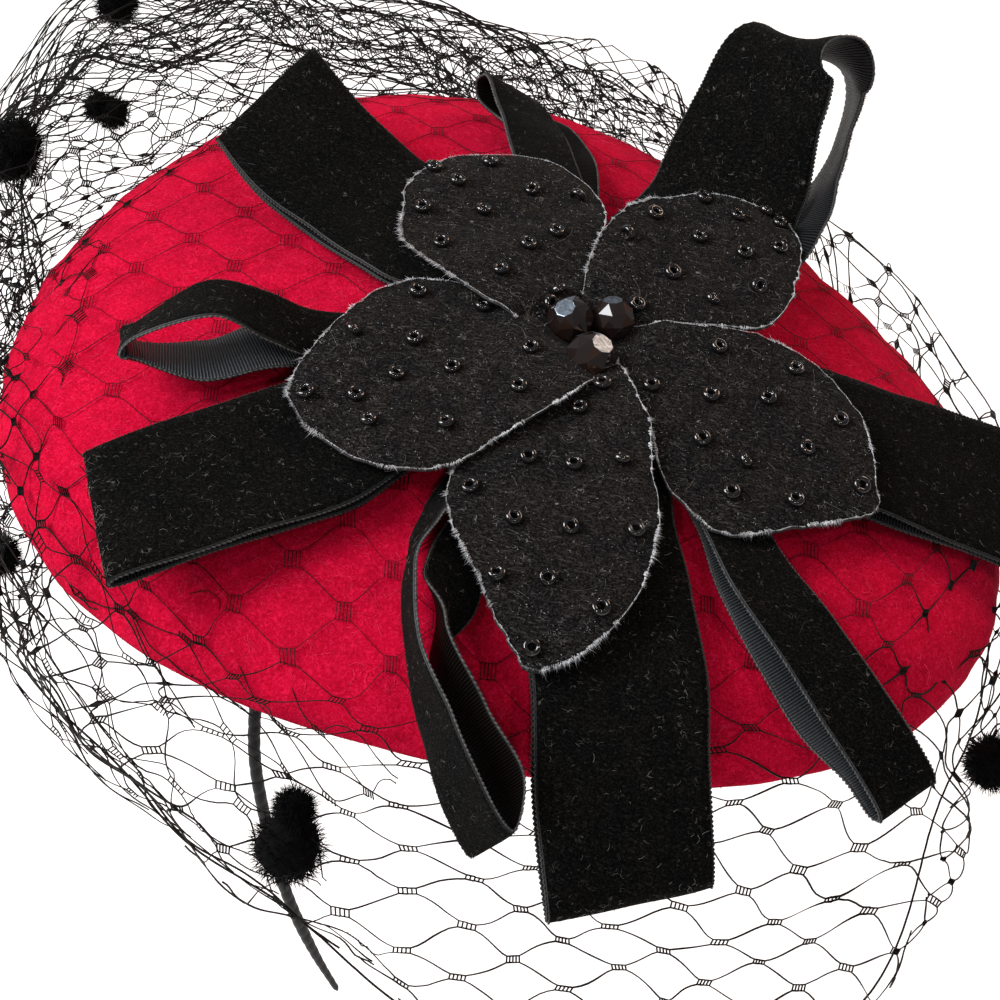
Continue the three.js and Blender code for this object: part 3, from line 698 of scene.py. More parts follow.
# Lays flat netting over the form: a flat place (u, v) keeps its direction and its distance
# from the centre, and beyond the crown the rows lie closer together.
def drape(flat, layer, seed):
    s = net
    turn = math.radians(s["turn"] + layer["skew"])
    u, v = flat[..., 0], flat[..., 1]
    spot = onFlat(u, v)
    far = smooth((np.hypot(u, v) - s["swayFrom"]) / s["swayOver"])
    wider = 1 + s["spread"] * smooth((np.abs(v) - s["spreadFrom"]) / s["spreadOver"])

    def swayed(seed):
        long, short = s["waves"]
        sway = layer["stray"][0] * (0.25 + 0.75 * far)
        return sway * (ripple(spot, long, seed) + 0.35 * ripple(spot, short, seed + 1))

    u, v = u * wider + swayed(seed), v + swayed(seed + 2)
    az = np.arctan2(u * math.sin(turn) + v * math.cos(turn), u * math.cos(turn) - v * math.sin(turn))
    reach = np.hypot(u, v)
    start = crownCloth
    along = np.where(reach > start, start + (reach - start) / s["closer"], reach)
    end = hemAt(az)
    beyond = along - end
    along = np.minimum(along, end)
    loose = smooth((along - s["feltEnd"]) / s["looseOver"])
    free = smooth((end - along) / s["hemOver"])
    out = layer["out"] * lerp(s["onFelt"], 1, free) * parting(az, layer)
    out = out + layer["stray"][1] * ripple(spot, s["layerWave"], seed + 4)
    return clothPlace(az, along, out * loose), np.degrees(az) % 360, reach, beyond, loose


# Leaves no loose ends: a knot needs two threads, a thread a knot at both ends or the hem.
# Also says which knots hold three threads or more; those are drawn thick.
def tidyEnds(row, keep, pastHem):
    even = row % 2 == 0
    right, left = keep.reshape(2, *row.shape)
    pastHem = pastHem.reshape(row.shape)

    def before(a, shift):
        return np.roll(np.roll(a, shift, 0), 1, 1)

    def after(a, shift):
        return np.roll(np.roll(a, shift, 0), -1, 1)

    def isTied(least):
        met = (right.astype(int) + left + np.where(even, before(right, 1), before(right, 0))
               + np.where(even, before(left, 0), before(left, -1)))
        return met >= least

    for _ in range(6):
        good = isTied(2) | pastHem
        right = right & good & np.where(even, after(good, 0), after(good, -1))
        left = left & good & np.where(even, after(good, 1), after(good, 0))
    return np.concatenate([right.ravel(), left.ravel()]), isTied(3).ravel()


def netLayer(name, form, seed):
    s = form
    (wide, tall), (w, h) = s["cell"], s["knot"]
    rows, columns = int(net["toEdge"] / tall), int(net["toEdge"] / wide)
    k, i = np.meshgrid(np.arange(-rows, rows + 1), np.arange(-columns, columns + 1))
    u = ((i + 0.5 * (k % 2)) * wide + s["shift"][0]).ravel()
    v = (k * tall + s["shift"][1]).ravel()
    stops = 7 if wide > 10 else 4
    x = np.r_[0, np.linspace(w, wide / 2 - w, stops), wide / 2]
    t = np.linspace(0, 1, stops)
    past = smooth((np.hypot(u, v) - net["feltEnd"]) / net["knotOver"])
    sunk = lerp(1, net["freeKnot"], past)   # flatter knots beyond the felt
    y = np.r_[0, 0.6 * t + 0.4 * smooth(t), 1]
    y = (h * sunk)[:, None] + y * (tall - 2 * h * sunk)[:, None]
    links = np.concatenate([np.stack([u[:, None] + sign * x, v[:, None] + y], -1) for sign in (1, -1)])
    places, compass, reach, beyond, loose = drape(links, s, seed)
    keep = (reach.min(1) > s["reach"]) & (beyond.min(1) < 0) & (beyond.max(1) < net["pastHem"])
    first, last = s["compass"]
    if last - first < 360:
        ragged = net["ragged"] * np.sin(reach[:, 0] * net["raggedPace"])
        keep &= (compass[:, 0] > first + ragged) & (compass[:, 0] < last + ragged)
        keep &= np.ptp(compass, axis=1) < 90   # not the threads that cross 0 degrees
    keep, knots = tidyEnds(k, keep, beyond[:k.size, 0] >= 0)
    size = lerp(*s["thread"], loose) * (1 + net["uneven"] * ripple(places, 8, seed + 5))
    parts = [rods(places[keep], size[keep], 3)]
    bars = []
    for b in np.linspace(-1, 1, net["bars"]):
        bars.append(np.stack([np.stack([u + b * w, v + d * h * sunk], -1) for d in (-1, 1)], 1))
    places, _, _, beyond, loose = drape(np.concatenate(bars), s, seed)
    keep = np.tile(knots, net["bars"]) & (beyond.max(1) < 0)
    thin, thick = s["thread"]
    parts.append(rods(places[keep], lerp(thin * net["barThick"], thick, loose[keep]), 3))
    if s["hem"]:
        az = np.radians(np.arange(first, last + 0.5, 0.5))
        off = s["stray"][1] * ripple(polar(az, 100, 0), net["layerWave"], seed + 4)
        out = net["onFelt"] * s["out"] * parting(az, s) + off
        edge = clothPlace(az, hemAt(az) - net["hemInside"], out)
        parts.append(rods(edge[None], s["hem"], 5, np.array([0, 0, 1.0])))
    layer = makeMesh(name, *joined(parts), [looks["net"]])
    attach(layer, "root")
    return layer


def makeNet():
    for k, (name, form) in enumerate(netLayers.items()):
        made = netLayer(name, form, 40 + 10 * k)
        if k == 0:
            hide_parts("veil")


makeNet()
print("net made")

# The ribbon loops, each folded back under itself, sewn on below the flower.
gap, netThick, clothThick = 0.3, 1, 1
runsApart = clothThick + gap
sewnUp = crownTop + gap + netThick + gap + clothThick / 2 + runsApart   # the upper run, over the net
flowerCentre = np.array([11.5, -4.5, 0.0])
sewn = {"out": 17, "up": sewnUp, "drop": runsApart, "gather": 0.45}
ribbon = {
    "thick": 0.78, "perStop": 10, "across": 13, "waver": 0.16, "selvedge": 0.12, "wide": 15,
    "crease": 0.14, "creaseEnd": 35, "creaseOver": 14,
    "edgeRadius": 0.20, "edgePitch": 0.72, "edgeOut": 0.16, "edgeDown": 0.10,
    "lintPerArea": 0.16, "lintLength": (0.4, 1.6), "lintRadius": 0.026, "lintRise": 0.14,
    "napLength": (0.18, 0.42), "napGap": 0.19, "napRadius": 0.05, "napSpread": 0.35, "napUp": 0.9,
    "napInside": 0.2, "napLift": 0.3,
}
# rows run outwards on top: out and side from the flower's middle, up from the frame's;
# drop, shift and pull lead to the run below, gather narrows, lean and yaw turn the ribbon;
# a loop that opens sideways has its lower run in "under"; lint is how much of it there is
ribbonLoops = {
    "wide_loop_1": {"width": 25, "turn": 146, "slanted": True, "lint": 0.35, "back": "darkSatin", "rows": [
        sewn,
        {"out": 32, "up": 8, "drop": 1.4},
        {"out": 46, "up": 7.3, "drop": 1.5, "lean": -2},
        {"out": 60, "side": 1, "up": 9.6, "drop": 1.4, "shift": -0.5, "lean": -8, "yaw": -5},
        {"out": 71.5, "side": -1, "up": 11.5, "drop": 1.3, "shift": -0.6, "lean": -12, "yaw": -9}]},
    "wide_loop_2": {"width": 25, "turn": 68, "lint": 0.5, "back": "darkSatin", "rows": [
        sewn,
        {"out": 31, "up": 7.1},
        {"out": 43, "up": 5.4},
        {"out": 51, "side": 1, "up": 8.2, "lean": -10, "yaw": -5},
        {"out": 59.5, "side": 2.5, "up": 19.5, "lean": -24, "gather": 0.92},
        {"out": 66.3, "side": 2.6, "up": 26.6, "lean": -27, "gather": 0.86}],
        "fold": {"out": 70.3, "side": -1.8, "up": 26.8, "lean": -30, "yaw": 14, "gather": 0.8},
        "under": [
            {"out": 72.5, "side": -8.2, "up": 21, "lean": -34, "yaw": 66, "gather": 0.8},
            {"out": 67, "side": -10.4, "up": 14, "lean": -33, "yaw": 70, "gather": 0.8},
            {"out": 59.5, "side": -11, "up": 8.5, "lean": -32, "yaw": 66, "gather": 0.8},
            {"out": 50, "side": -10, "up": 5.2, "lean": -28, "yaw": 58, "gather": 0.8},
            {"out": 37, "side": -5, "up": 5.2, "gather": 0.8},
            {"out": 17, "up": sewnUp - runsApart, "gather": 0.45}]},
    "wide_loop_3": {"width": 25, "turn": -1, "slanted": True, "lint": 0.5, "back": "darkSatin", "rows": [
        sewn,
        {"out": 32, "side": -3, "up": 7, "drop": 1.4},
        {"out": 45, "side": -3.5, "up": 4.8, "drop": 1.4, "shift": -1, "lean": 2},
        {"out": 58, "side": -2.5, "up": 1.6, "drop": 1.5, "lean": 8, "yaw": -8},
        {"out": 70, "up": -2.8, "drop": 1.4, "shift": 0.5, "lean": 12, "yaw": -12},
        {"out": 80, "side": 3, "up": -6.5, "drop": 1.4, "shift": 0.5, "lean": 12, "yaw": -12}]},
    "wide_loop_4": {"width": 24, "turn": -75, "slanted": True, "lint": 0.9, "back": "darkSatin", "rows": [
        sewn,
        {"out": 31, "side": -2, "up": 6.5, "drop": 1.4, "gather": 0.84},
        {"out": 45, "side": -3, "up": 3.9, "drop": 1.5},
        {"out": 58, "side": -2, "up": -0.4, "drop": 1.7, "lean": 2},
        {"out": 69, "side": -2, "up": -7.8, "drop": 2, "pull": 0.8, "lean": 5, "yaw": -5},
        {"out": 79.5, "up": -20.4, "drop": 1.6, "pull": 2, "lean": 3, "yaw": -12}]},
    "wide_loop_5": {"width": 24.5, "turn": -145, "slanted": True, "lint": 1.2, "back": "darkSatin",
                    "rows": [
        sewn,
        {"out": 31, "side": 1.5, "up": 7.9, "drop": 1.4, "gather": 0.82},
        {"out": 47, "side": 4.2, "up": 6.4, "drop": 1.5},
        {"out": 62, "side": 4.2, "up": 5, "drop": 1.35, "yaw": 6},
        {"out": 78.5, "side": 4, "up": 2.2, "drop": 1.25, "yaw": 12}]},
    # its back is the lighter satin copy: painted light
    "narrow_loop_1": {"width": 10, "turn": -170, "lint": 0.5, "back": "paintedLightSatin", "rows": [
        {**sewn, "out": 23, "side": -2.5, "gather": 0.6},
        {"out": 40.5, "side": 1.2, "up": 7.3, "drop": 1.3, "gather": 0.9},
        {"out": 48.5, "side": 4, "up": 12.2, "drop": 5.2, "shift": 0.6, "leanUnder": 3},
        {"out": 57, "side": 5, "up": 15.6, "drop": 10.4, "shift": 2.2, "lean": 12, "leanUnder": 8},
        {"out": 67.5, "side": 6.8, "up": 9.4, "drop": 3, "shift": 0.8, "gather": 0.8, "lean": 30,
         "leanUnder": 24}]},
    # its back is the darker satin copy: painted shade
    "narrow_loop_2": {"width": 10, "turn": -95, "slanted": True, "lint": 0.4, "back": "paintedShadeSatin", "rows": [
        {"out": 20, "side": -8, "up": 6.4, "gather": 0.4},
        {"out": 31, "side": -11.2, "up": 5.9, "gather": 0.5, "lean": 20},
        {"out": 41, "side": -14, "up": 5.8, "gather": 0.65, "lean": 56, "yaw": 30},
        {"out": 51, "side": -14.2, "up": 6.2, "lean": 66, "yaw": 60, "gather": 0.72},
        {"out": 61, "side": -10.6, "up": 2.6, "lean": 62, "yaw": 60, "gather": 0.75},
        {"out": 69, "side": -4.5, "up": -3.2, "lean": 58, "yaw": 40},
        {"out": 75, "side": 2.5, "up": -10.8, "lean": 58, "yaw": 20}],
        "fold": {"out": 76, "side": 7, "up": -15.8, "lean": 62, "yaw": 10},
        "under": [
            {"out": 72, "side": 6.2, "up": -9.6, "lean": 60},
            {"out": 67, "side": -0.8, "up": -3.4, "lean": 64},
            {"out": 60, "side": -7.5, "up": 3, "lean": 85},
            {"out": 50.5, "side": -8, "up": 4.1, "lean": 146, "gather": 0.95},
            {"out": 38, "side": -8, "up": 5.3, "lean": 172, "gather": 0.55},
            {"out": 23, "side": -3.5, "up": 6.4, "lean": 180, "gather": 0.4}]},
    "narrow_loop_3": {"width": 10, "turn": -45, "slanted": True, "lint": 0.5, "rows": [
        {**sewn, "out": 20, "gather": 0.6},
        {"out": 34, "side": -1.5, "up": 6.2, "drop": 1.4, "gather": 0.9},
        {"out": 46, "side": -4, "up": 4.8, "drop": 1.8, "shift": -1.5},
        {"out": 57, "side": -4, "up": 2.4, "drop": 2.6, "shift": -2.5, "lean": 8},
        {"out": 67, "side": -2.5, "up": -3, "drop": 2.6, "shift": -2.5, "pull": 0.6, "lean": 12},
        {"out": 74, "up": -8.8, "drop": 1.5, "shift": -1.3, "pull": 0.8, "lean": 14},
        {"out": 78.5, "side": 1.6, "up": -13.8, "drop": 1.2, "shift": -0.4, "pull": 0.7, "lean": 14}]},
    # its back is the darker satin copy: painted shade
    "narrow_loop_4": {"width": 10, "turn": 107, "slanted": True, "lint": 0.6, "back": "paintedShadeSatin", "rows": [
        {**sewn, "out": 20, "gather": 0.6},
        {"out": 36, "side": -1, "up": 7.8, "drop": 1.4, "shift": -2},
        {"out": 50, "side": -1, "up": 6.5, "drop": 2, "shift": -4, "lean": 4, "leanUnder": 0},
        {"out": 61, "side": -0.5, "up": 5.2, "drop": 3, "shift": -3, "lean": 18, "leanUnder": 0},
        {"out": 70, "side": 1, "up": 4, "drop": 3.4, "lean": 30, "leanUnder": 10}]},
}


def lowerRun(rows):
    return [{**row, "out": row["out"] - row.get("pull", 0),
             "side": row.get("side", 0) + row.get("shift", 0),
             "up": row["up"] - row["drop"],
             "lean": row.get("leanUnder", row.get("lean", 0))}
            for row in reversed(rows)]


# The row where a loop turns back, half way between its runs and a little beyond them.
def foldBetween(rows, under):
    place = ("out", "side", "up")

    def middle(a, b):
        return {key: (a.get(key, 0) + b.get(key, 0)) / 2 for key in (*place, "lean", "yaw")}

    end, before = middle(rows[-1], under[0]), middle(rows[-2], under[1])
    bulge = 0.55 * math.hypot(rows[-1]["up"] - under[0]["up"], rows[-1]["out"] - under[0]["out"])
    step = bulge / math.sqrt(sum((end[k] - before[k]) ** 2 for k in place))
    return {**end, **{k: end[k] + step * (end[k] - before[k]) for k in place}}


# The ribbon's middle line, its directions to the edge and off the face, and its half width.
def ribbonRun(form):
    rows = form["rows"]
    under = form.get("under") or lowerRun(rows)
    stops = [*rows, form.get("fold") or foldBetween(rows, under), *under]
    az = math.radians(form["turn"])
    outwards = np.array([math.cos(az), math.sin(az), 0])
    side = np.array([-math.sin(az), math.cos(az), 0])
    places = [flowerCentre + s["out"] * outwards + s.get("side", 0) * side + np.array([0, 0, s["up"]])
              for s in stops]
    n = ribbon["perStop"]
    path = curveThrough(places, n)
    place = np.arange(len(path)) / n
    k = np.minimum(place.astype(int), len(stops) - 2)
    blend = smooth(place - k)

    def between(key, usual):
        value = np.array([s.get(key, usual) for s in stops], float)
        return lerp(value[k], value[k + 1], blend)

    lean, yaw = np.radians(between("lean", 0)), np.radians(between("yaw", 0))
    half = 0.5 * form["width"] * between("gather", 1)
    along = unit(np.gradient(path, axis=0))
    edge = ((np.cos(lean) * np.cos(yaw))[:, None] * side
            + (np.cos(lean) * np.sin(yaw))[:, None] * outwards
            + np.sin(lean)[:, None] * np.array([0, 0, 1.0]))
    squared = 0 if form.get("slanted") else 1   # a slanted end keeps its rows out of square
    edge = unit(edge - squared * (edge * along).sum(-1, keepdims=True) * along)
    return path, edge, np.cross(along, edge), half


def makeRibbon(name, form, seed):
    s = ribbon
    path, edge, face, half = ribbonRun(form)
    rows, n = len(path), s["across"]
    own = np.random.default_rng(seed)
    across = np.sin(np.linspace(-1, 1, n) * math.pi / 2) * 0.35 + np.linspace(-1, 1, n) * 0.65
    middle = path[:, None] + (across[None] * half[:, None])[..., None] * edge[:, None]
    wave = s["waver"] * ripple(middle, 16, seed)
    fromStitch = np.hypot(*(path - flowerCentre)[:, :2].T)
    gathered = smooth((s["creaseEnd"] - fromStitch) / s["creaseOver"])[:, None]
    crease = s["crease"] * np.sin(5 * math.pi * across + seed)[None] * gathered
    inset = 0.5 * s["thick"] * (0.55 + 0.45 * np.sqrt(1 - np.abs(across) ** 6 * 0.9))
    upper, lower = (middle + (wave + crease + thick)[..., None] * face[:, None]
                    for thick in (inset, -inset))
    sides = [path + (sign * (half + s["selvedge"]))[:, None] * edge + wave[:, col][:, None] * face
             for sign, col in ((1, -1), (-1, 0))]
    rings = np.concatenate([upper[:, ::-1], sides[1][:, None], lower, sides[0][:, None]], 1)
    slot = np.tile(np.r_[np.zeros(n - 1), 2, 2, np.ones(n - 1), 2, 2], rows - 1)
    length = lengthAlong(path)
    u = np.r_[across[::-1], -1, across, 1] * form["width"] / 2
    uv = np.stack(np.broadcast_arrays(u[None], length[:, None]), -1).reshape(-1, 2)
    cloth = makeMesh(name.replace("loop", "ribbon"), rings.reshape(-1, 3),
                     skinFaces(rows, rings.shape[1]),
                     [looks["velvet"], looks[form.get("back", "satin")], looks["selvedge"]],
                     np.r_[slot, 2, 2], uv=uv)
    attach(cloth, "root")
    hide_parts(name)
    # threads along both edges, pile and lint
    stitches = np.arange(0, length[-1], s["edgePitch"] / 4)
    at = np.interp(stitches, length, np.arange(rows))
    i = np.minimum(at.astype(int), rows - 2)
    f = (at - i)[:, None]
    down = lerp(face[i], face[i + 1], f)
    swell = 0.5 + 0.5 * np.cos(2 * math.pi * stitches / s["edgePitch"])
    threads, nap = [], []
    for sign, brink in zip((1, -1), sides):
        out = sign * lerp(edge[i], edge[i + 1], f)
        line = lerp(brink[i], brink[i + 1], f) + s["edgeOut"] * swell[:, None] * out
        line = line - s["edgeDown"] * down
        threads.append(rods(line[None], (s["edgeRadius"] * (0.65 + 0.5 * swell))[None], 4, down[None]))
        tufts = int(length[-1] / s["napGap"])
        tuftAt = np.sort(own.uniform(0, rows - 1.001, tufts))
        j = tuftAt.astype(int)
        roots = lerp(brink[j], brink[j + 1], (tuftAt - j)[:, None]) + s["napLift"] * face[j]
        roots = roots - s["napInside"] * sign * edge[j]
        ways = sign * edge[j] + own.normal(0, s["napSpread"], (tufts, 3)) + s["napUp"] * face[j]
        nap.append(hairs(roots, ways, own.uniform(*s["napLength"], tufts), s["napRadius"]))
    count = int(s["lintPerArea"] * form["lint"] * length[-1] * form["width"])
    row = own.integers(1, rows - 1, count)
    spot = own.uniform(-0.97, 0.97, count)
    column = np.interp(spot, across, np.arange(n))
    skin = wave + crease + inset
    lift = np.array([np.interp(c, np.arange(n), skin[r]) for c, r in zip(column, row)])
    roots = path[row] + (spot * half[row])[:, None] * edge[row] + lift[:, None] * face[row]
    length = own.uniform(*s["lintLength"], count)
    lint = fibres(roots, face[row], length, s["lintRadius"], own, s["lintRise"])
    return threads, nap, lint


def makeRibbons():
    wideThreads, narrowThreads, nap, lint = [], [], [], []
    for k, (name, form) in enumerate(ribbonLoops.items()):
        threads, tufts, fluff = makeRibbon(name, form, 100 + k)
        if form["width"] > ribbon["wide"]:
            wideThreads += threads
        else:
            narrowThreads += threads
        nap += tufts
        lint.append(fluff)
    for name, parts, look in (("wide_edge_threads", wideThreads, "widePicot"),
                              ("narrow_edge_threads", narrowThreads, "picot"),
                              ("ribbon_pile", nap, "pile"), ("ribbon_lint", lint, "lint")):
        piece = makeMesh(name, *joined(parts), [looks[look]])
        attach(piece, "root")


makeRibbons()
print("ribbons made:", len(ribbonLoops))

# The flower: five velvet petals with frayed edges, lint and seed beads.
flower = {
    "wall": 0.9, "along": 52, "across": 32, "waver": 0.3, "ragged": 0.16,
    "rib": 0.25, "ribWidth": 2.2, "ribOver": 20,
    "dip": 3.0, "dipEnd": 9, "dipOver": 6, "near": 0.2, "far": 0.05, "until": 0.5,
    "fray": (0.12, 0.55), "frayGap": 0.044, "frayRadius": 0.046, "frayInside": 0.45, "fraySpread": 0.5,
    "frayFrom": 0.42, "frayTo": 0.2, "longThreads": 0.02, "longer": 2.2, "tufted": (0.6, 0.7, 0.8),
    "frayLimits": (0.04, 1.15),
    "dust": 320, "dustLength": (0.12, 0.4), "dustRadius": 0.035,
    "lint": 460, "lintLength": (0.2, 2.6), "lintRadius": 0.019,
    "curls": 9, "curlLength": (3, 7), "curlRadius": 0.0228,
}
# turn: compass of its middle line; long: its length; base and tip: its height over the felt
# at the flower's middle and at its end; outline: distance out, half width anticlockwise,
# half width clockwise; frayed: how ragged those two edges are; beads: out and side
petals = {
    "petal_1": {"turn": 128, "long": 46, "base": 7.6, "tip": 6.6,
                "outline": [(2, 7.5, 3), (6.7, 10.5, 4), (10, 13, 5.5), (15, 15, 9), (22, 17.5, 16),
                            (29, 17.5, 19), (35, 14, 18.5), (41, 9.5, 14.5), (44, 4.5, 9),
                            (45.3, 0.5, 3)],
                "frayed": (1.0, 0.8),
                "beads": [(43, 4), (41.5, -5.5), (38, 2.5), (33, -8.5), (29.5, -15), (34, 11),
                          (30.5, 2), (21.5, -6), (20, 0), (24.5, 13), (15, 8), (9, 1), (6.8, 3.5)]},
    "petal_2": {"turn": 60, "long": 49.5, "base": 7.4, "tip": 10,
                "outline": [(2, 4.5, 4), (7.5, 7.5, 5), (15, 11, 11), (21, 12.5, 16.5), (28, 13, 17),
                            (35, 10.5, 14.5), (42, 6, 11), (46, 2, 8), (48.3, -1.5, 4.5)],
                "frayed": (0.9, 0.7),
                "beads": [(28, 9), (38.5, 6.5), (39.5, 0.5), (46.5, -1), (46, -4), (19.5, 8.5),
                          (30, 1.5), (39.5, -8), (32.5, -5.5), (19, -1), (28, -11.5), (19.5, -8.5),
                          (9, -1.5)]},
    "petal_3": {"turn": -22, "long": 49.5, "base": 7.4, "tip": 6.6,
                "outline": [(2, 5, 5), (8.4, 8, 7), (15, 12.5, 10), (21, 16, 17), (28, 18, 20.5),
                            (35, 16, 20), (42, 11, 12.5), (47, 4, 5.5), (49.4, 0.5, 2)],
                "frayed": (0.5, 0.7),
                "beads": [(17, 8.5), (28, 13.5), (20.5, -0.5), (27.5, 5), (12.5, -4.5), (38, 9),
                          (23.5, -9), (30.5, -8), (36.5, 0.5), (31.5, -14.5), (39.5, -9), (46, 0.5)]},
    "petal_4": {"turn": -91.5, "long": 59.5, "base": 7.1, "tip": 8.4,
                "outline": [(2, 4.5, 4.5), (10.1, 7, 6), (18, 11, 8), (26, 12.5, 12), (34, 15, 15),
                            (42, 15, 13.5), (50, 13, 7.5), (55, 10, 4), (58, 7, 1),
                            (59.8, 3.5, -0.8)],
                "frayed": (0.9, 1.0),
                "beads": [(12, 3), (17.5, 0.5), (29, -5), (28.5, 1.5), (26, 8), (36, -12), (40, -5),
                          (39.5, 3), (37.5, 12), (49, -5.5), (48, 1.5), (50.5, 9.5), (57.8, 1.5)]},
    "petal_5": {"turn": -145, "long": 49.5, "base": 7.9, "tip": 7.2,
                "outline": [(2, 8, 7), (8.4, 12, 10), (17, 14.5, 18), (25, 16.5, 19), (33, 18, 16),
                            (40, 15.5, 11.5), (45, 10.5, 7.5), (48.3, 3.5, 3.5)],
                "frayed": (0.7, 1.0),
                "beads": [(22, -15.5), (14, -9.5), (34.5, -11), (27, -6), (12, 2), (24.5, 1.5),
                          (32.5, -0.5), (39.5, 1), (46, -2), (17.5, 9), (40, 6.5), (30, 11)]},
}
beads = {"ring": 0.93, "wall": 0.46, "half": 0.64, "around": 22, "section": 12, "sink": 0.85,
         "tilt": 9, "toppled": 0.16, "toppledTilt": 0.6, "sizes": (0.94, 1.05)}


def petalPoint(form, out, side, lift):
    az = math.radians(form["turn"])
    x = flowerCentre[0] + out * math.cos(az) - side * math.sin(az)
    y = flowerCentre[1] + out * math.sin(az) + side * math.cos(az)
    t = out / form["long"]
    slope = lerp(flower["near"], flower["far"], np.minimum(t / flower["until"], 1))
    stitched = flower["dip"] * smooth((flower["dipEnd"] - out) / flower["dipOver"])
    height = crownHeight(x, y) + lerp(form["base"], form["tip"], t) + slope * side - stitched
    return np.stack([x, y, height + lift], -1)


def halfWidths(form, out):
    at, ccw, cw = np.array(form["outline"], float).T
    return through(at, ccw, out), through(at, cw, out)


def petalWave(form, out, side):
    s = flower
    rise = s["waver"] * ripple(onFlat(out, side), 17, int(form["turn"]) + 300)
    groove = np.exp(-(side / s["ribWidth"]) ** 2) * smooth((form["long"] - out) / s["ribOver"])
    return rise - s["rib"] * groove


# A place on a petal's waving middle skin, or lift over it.
def onPetal(form, out, side, lift):
    return petalPoint(form, out, side, petalWave(form, out, side) + lift)


def makePetal(name, form, seed):
    s = flower
    own = np.random.default_rng(seed)
    u = np.linspace(0, 1, s["along"])
    first, last = form["outline"][0][0], form["outline"][-1][0]
    out = lerp(first, last, 1 - (1 - u) ** 1.5)
    across = np.sin(np.linspace(-1, 1, s["across"]) * math.pi / 2)
    ccw, cw = halfWidths(form, out)
    ragged = s["ragged"] * ripple(onFlat(out), 3.2, seed)
    left, right = ccw + ragged, -cw - ragged[::-1]
    side = lerp(right[:, None], left[:, None], (across[None] + 1) / 2)
    outs = np.broadcast_to(out[:, None], side.shape)
    inset = 0.5 * s["wall"] * (1 - 0.55 * np.abs(across) ** 8)[None]
    top, under = onPetal(form, outs, side, inset), onPetal(form, outs, side, -inset)
    rings = np.concatenate([top, under[:, ::-1]], 1)
    rows, columns = rings.shape[:2]
    half = columns // 2
    cut = [half - 1 <= j <= half or j == columns - 1 for j in range(columns)]
    slots = np.r_[np.tile(cut, rows - 1), True, True].astype(int)
    cloth = makeMesh("flower_" + name, rings.reshape(-1, 3), skinFaces(rows, columns),
                     [looks["petalVelvet"], looks["cutEdge"]], slots)
    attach(cloth, "root")
    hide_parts(name)

    # the cut edge: both sides and the tip
    outline = np.concatenate([np.stack([out, left], -1), np.stack([out, right], -1)[::-1]])
    rough = np.r_[np.full(rows, form["frayed"][0]), np.full(rows, form["frayed"][1])]
    run = lengthAlong(outline)
    count = int(run[-1] / s["frayGap"])
    at = np.sort(own.uniform(0.4, run[-1] - 0.4, count))
    spot = atLengths(at, run, outline)
    tangent = unit(atLengths(at + 0.4, run, outline) - spot + 1e-9)
    away = np.stack([-tangent[:, 1], tangent[:, 0]], -1)
    usual, patches, tufts = s["tufted"]
    loose = usual + patches * ripple(onFlat(at), 11, seed) + tufts * ripple(onFlat(at), 1.7, seed + 1)
    loose = loose * np.interp(at, run, rough)
    length = own.uniform(*s["fray"], count) * np.clip(loose, *s["frayLimits"])
    length = np.where(own.uniform(size=count) < s["longThreads"], length * s["longer"], length)
    inside = own.uniform(0, s["frayInside"], count) * np.clip(loose, 0.2, 1)
    start = spot - inside[:, None] * away
    tip = spot + (away + own.normal(0, s["fraySpread"], (count, 2))) * length[:, None]
    drop = own.normal(0.1, 0.3, count) * length
    roots = onPetal(form, *start.T, s["frayFrom"])
    span = onPetal(form, *tip.T, s["frayTo"] + drop) - roots
    fray = hairs(roots, span, np.linalg.norm(span, axis=1), s["frayRadius"])

    def scattered(count, lift):
        out = own.uniform(first + 1, last - 1, count)
        ccw, cw = halfWidths(form, out)
        return onPetal(form, out, lerp(-cw, ccw, own.uniform(0.03, 0.97, count)), 0.5 * s["wall"] + lift)

    # short lint, a few long curled threads and dust over the face
    up = np.array([0, 0, 1.0])
    roots = scattered(s["lint"], 0.02)
    length = lerp(*s["lintLength"], own.uniform(size=s["lint"]) ** 3)
    lint = fibres(roots, np.broadcast_to(up, roots.shape), length, s["lintRadius"], own, 0.16)
    roots = roots[own.integers(0, s["lint"], s["curls"])]
    length = own.uniform(*s["curlLength"], s["curls"])
    curls = fibres(roots, np.broadcast_to(up, roots.shape), length, s["curlRadius"], own, 0.12,
                   stops=14, bend=2.4)
    roots = scattered(s["dust"], 0)
    ways = own.normal(size=roots.shape) * [1, 1, 0.3] + [0, 0, 0.15]
    dust = hairs(roots, ways, own.uniform(*s["dustLength"], s["dust"]), s["dustRadius"])
    rings = [ringBead(form, *place, own) for place in form["beads"]]
    return joined([fray, dust]), joined([lint, curls]), rings


